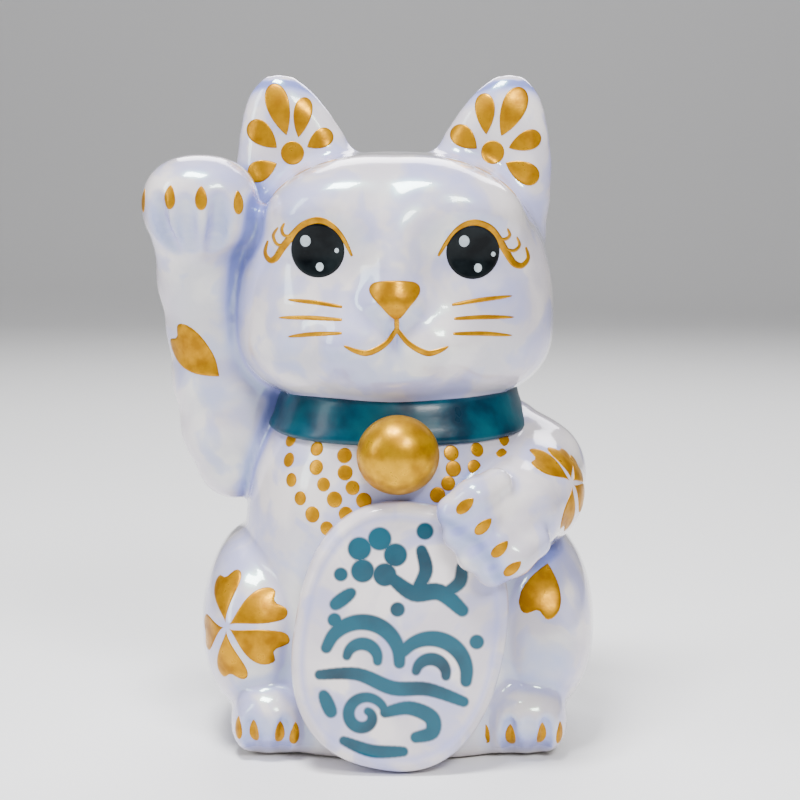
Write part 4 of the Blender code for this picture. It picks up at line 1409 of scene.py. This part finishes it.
def stencil_share(across, level):
    """How thickly the teal was sprayed at any place on the face, from 0 to 1."""
    share = np.zeros(across.shape)
    for route, width in stencil:
        line = flowing(route, 6)
        for index, (start, end) in enumerate(zip(line, line[1:])):
            way = (end[0] - start[0], end[1] - start[1])
            length = way[0] ** 2 + way[1] ** 2
            along = ((across - start[0]) * way[0] + (level - start[1]) * way[1]) / length
            along = np.clip(along, 0, 1)
            gap = np.hypot(across - start[0] - along * way[0], level - start[1] - along * way[1])
            thick = width / 2 * (0.72 + 0.34 * math.sin(math.pi * (index + 0.5) / len(line)))
            share = np.maximum(share, (thick + 0.5 - gap) / 1.2)
    for centre_a, centre_b, radius in stencil_dots:
        share = np.maximum(share, (radius + 0.45 - np.hypot(across - centre_a, level - centre_b)) / 1.1)
    share = np.clip(share, 0, 1)
    return share * share * (3 - 2 * share)


def plaque_outline(across, level):
    """A value that is 1 on the plaque's outline and grows outwards."""
    power = PLAQUE_POWER
    return (np.abs(across / PLAQUE_SIDE) ** power + np.abs(level / PLAQUE_UP) ** power) ** (1 / power)


def plaque_tablet():
    """The tablet about the middle of its face: a rounded rim, a dish and a plain back."""
    axes = []
    spans = ((-PLAQUE_SIDE, PLAQUE_SIDE), (0, PLAQUE_BEHIND), (-PLAQUE_UP, PLAQUE_UP))
    for low, high in spans:
        count = int((high - low + 4 * MM) / PLAQUE_GRID) + 1
        axes.append((low - 2 * MM + PLAQUE_GRID * np.arange(count)).astype(np.float32))
    x, y, z = axes[0][:, None, None], axes[1][None, :, None], axes[2][None, None, :]
    shape = plaque_outline(x, z)[:, 0]
    slope = np.sqrt(sum(part * part for part in np.gradient(shape, PLAQUE_GRID)))
    edge = ((shape - 1) / np.maximum(slope, LEAST_SLOPE))[:, None, :]
    edge = edge + 0.15 * MM * np.sin(150 * x + 90 * z)
    walls = -meet(-edge, y, 4.5 * MM)
    walls = -meet(-walls, PLAQUE_BEHIND - y, 1 * MM)
    dish = -meet(-(edge + PLAQUE_RIM), PLAQUE_DISH - y, 1.2 * MM)
    walls = -meet(-walls, dish, 1.4 * MM)
    points, faces = skin(walls.astype(np.float32), np.array([axis[0] for axis in axes]), PLAQUE_GRID)
    points = relax(points, faces, 2)
    across, level = points[:, 0] / MM, points[:, 2] / MM
    paint = stencil_share(across, level) * (points[:, 1] < 3 * MM)
    # Pooled glaze tint and painted shade in the angle inside the rim.
    rim_pool_and_shade = rim_pool_shade(points)
    placed = points @ np.array(plaque_turn.transposed()) + np.array(plaque_spot)
    return mesh_object("stencilled_tablet", placed, faces, {"paint": paint, "pool_and_shade": rim_pool_and_shade})


def rim_pool_shade(points):
    """Glaze pools in the angle between the dish and the rim; its lavender tint there is also painted shade.
    """
    shape = plaque_outline(points[:, 0], points[:, 2])
    gap = (shape - 1) * (PLAQUE_SIDE + PLAQUE_UP) / 2 + PLAQUE_RIM
    return np.clip(1 - np.abs(gap) / (1.6 * MM), 0, 1) * 0.4


plaque_finish = lustre_finish("stencilled_pearl_glaze", sprayed=True)
dress(plaque_tablet(), plaque_finish, "plaque")

# ------------------------------------------------------------
# Stopper: a turned-looking moulding in soft off-white plastic that plugs the hole in the
# base, with a flange, a finger grip across its cup and a tapered wall that grips the clay.
# ------------------------------------------------------------

GRIP_LENGTH = 23.6 * MM
GRIP_THICK = 2.6 * MM
GRIP_LOW, GRIP_HIGH = 1.6 * MM, 8.2 * MM
stopper_low, stopper_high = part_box("base_stopper")
stopper_x = (stopper_low.x + stopper_high.x) / 2
stopper_y = (stopper_low.y + stopper_high.y) / 2
stopper_rows = [
    (0.0, 7.6), (10.6, 7.6), (11.3, 7.3), (11.7, 6.6), (12.2, 2.4), (12.5, 1.4), (13.2, 1.1),
    (13.9, 1.35), (14.6, 1.35), (15.3, 1.1), (17.0, 0.92), (17.6, 1.0), (17.95, 1.4), (17.95, 2.2),
    (17.6, 2.6), (15.2, 2.7), (14.9, 2.9), (14.6, 3.3), (14.6, 6.1), (14.55, 6.4), (14.1, 6.8),
    (14.0, 9.2), (13.7, 9.7), (13.2, 9.9), (0.0, 9.9),
]


def turned(name, rows, count=120):
    """A closed lathe form from (radius, height) rows in mm, starting and ending on the axis."""
    points = [(stopper_x, stopper_y, rows[0][1] * MM)]
    for radius, height in rows[1:-1]:
        for step in range(count):
            turn = 2 * math.pi * step / count
            points.append((
                stopper_x + radius * MM * math.cos(turn),
                stopper_y + radius * MM * math.sin(turn),
                height * MM,
            ))
    points.append((stopper_x, stopper_y, rows[-1][1] * MM))
    rings = len(rows) - 2
    faces = []
    for step in range(count):
        after = (step + 1) % count
        faces.append((0, 1 + after, 1 + step))
        top = 1 + (rings - 1) * count
        faces.append((top + step, top + after, len(points) - 1))
        for ring in range(rings - 1):
            a = 1 + ring * count
            faces.append((a + step, a + after, a + count + after, a + count + step))
    return face_outwards(mesh_object(name, points, faces))


def rounded_bar(name, length, thick, low, high):
    """The finger grip: a bar across the cup with rounded edges, open under both ends."""
    bar = bmesh.new()
    bmesh.ops.create_cube(bar, size=1.0)
    for vertex in bar.verts:
        vertex.co = Vector((
            stopper_x + vertex.co.x * length,
            stopper_y + vertex.co.y * thick,
            (low + high) / 2 + vertex.co.z * (high - low),
        ))
    bmesh.ops.bevel(bar, geom=bar.edges[:], offset=0.7 * MM, segments=5, affect="EDGES")
    return shell_object(name, bar)


stopper_finish = noise_finish(
    "soft_plastic", (180.0, 4.0),
    [(0.35, (0.52, 0.50, 0.45)), (0.7, (0.66, 0.64, 0.60))], [(0.3, 0.42), (0.7, 0.62)],
    (1400.0, 0.3, 0.1 * MM), {"Subsurface Weight": 0.1, "Subsurface Scale": 0.002},
)
stopper_cup = turned("moulded_stopper", stopper_rows)
stopper_grip = rounded_bar("stopper_finger_grip", GRIP_LENGTH, GRIP_THICK, GRIP_LOW, GRIP_HIGH)
dress(stopper_cup, stopper_finish, "base_stopper", "stopper")
dress(stopper_grip, stopper_finish, body="stopper")
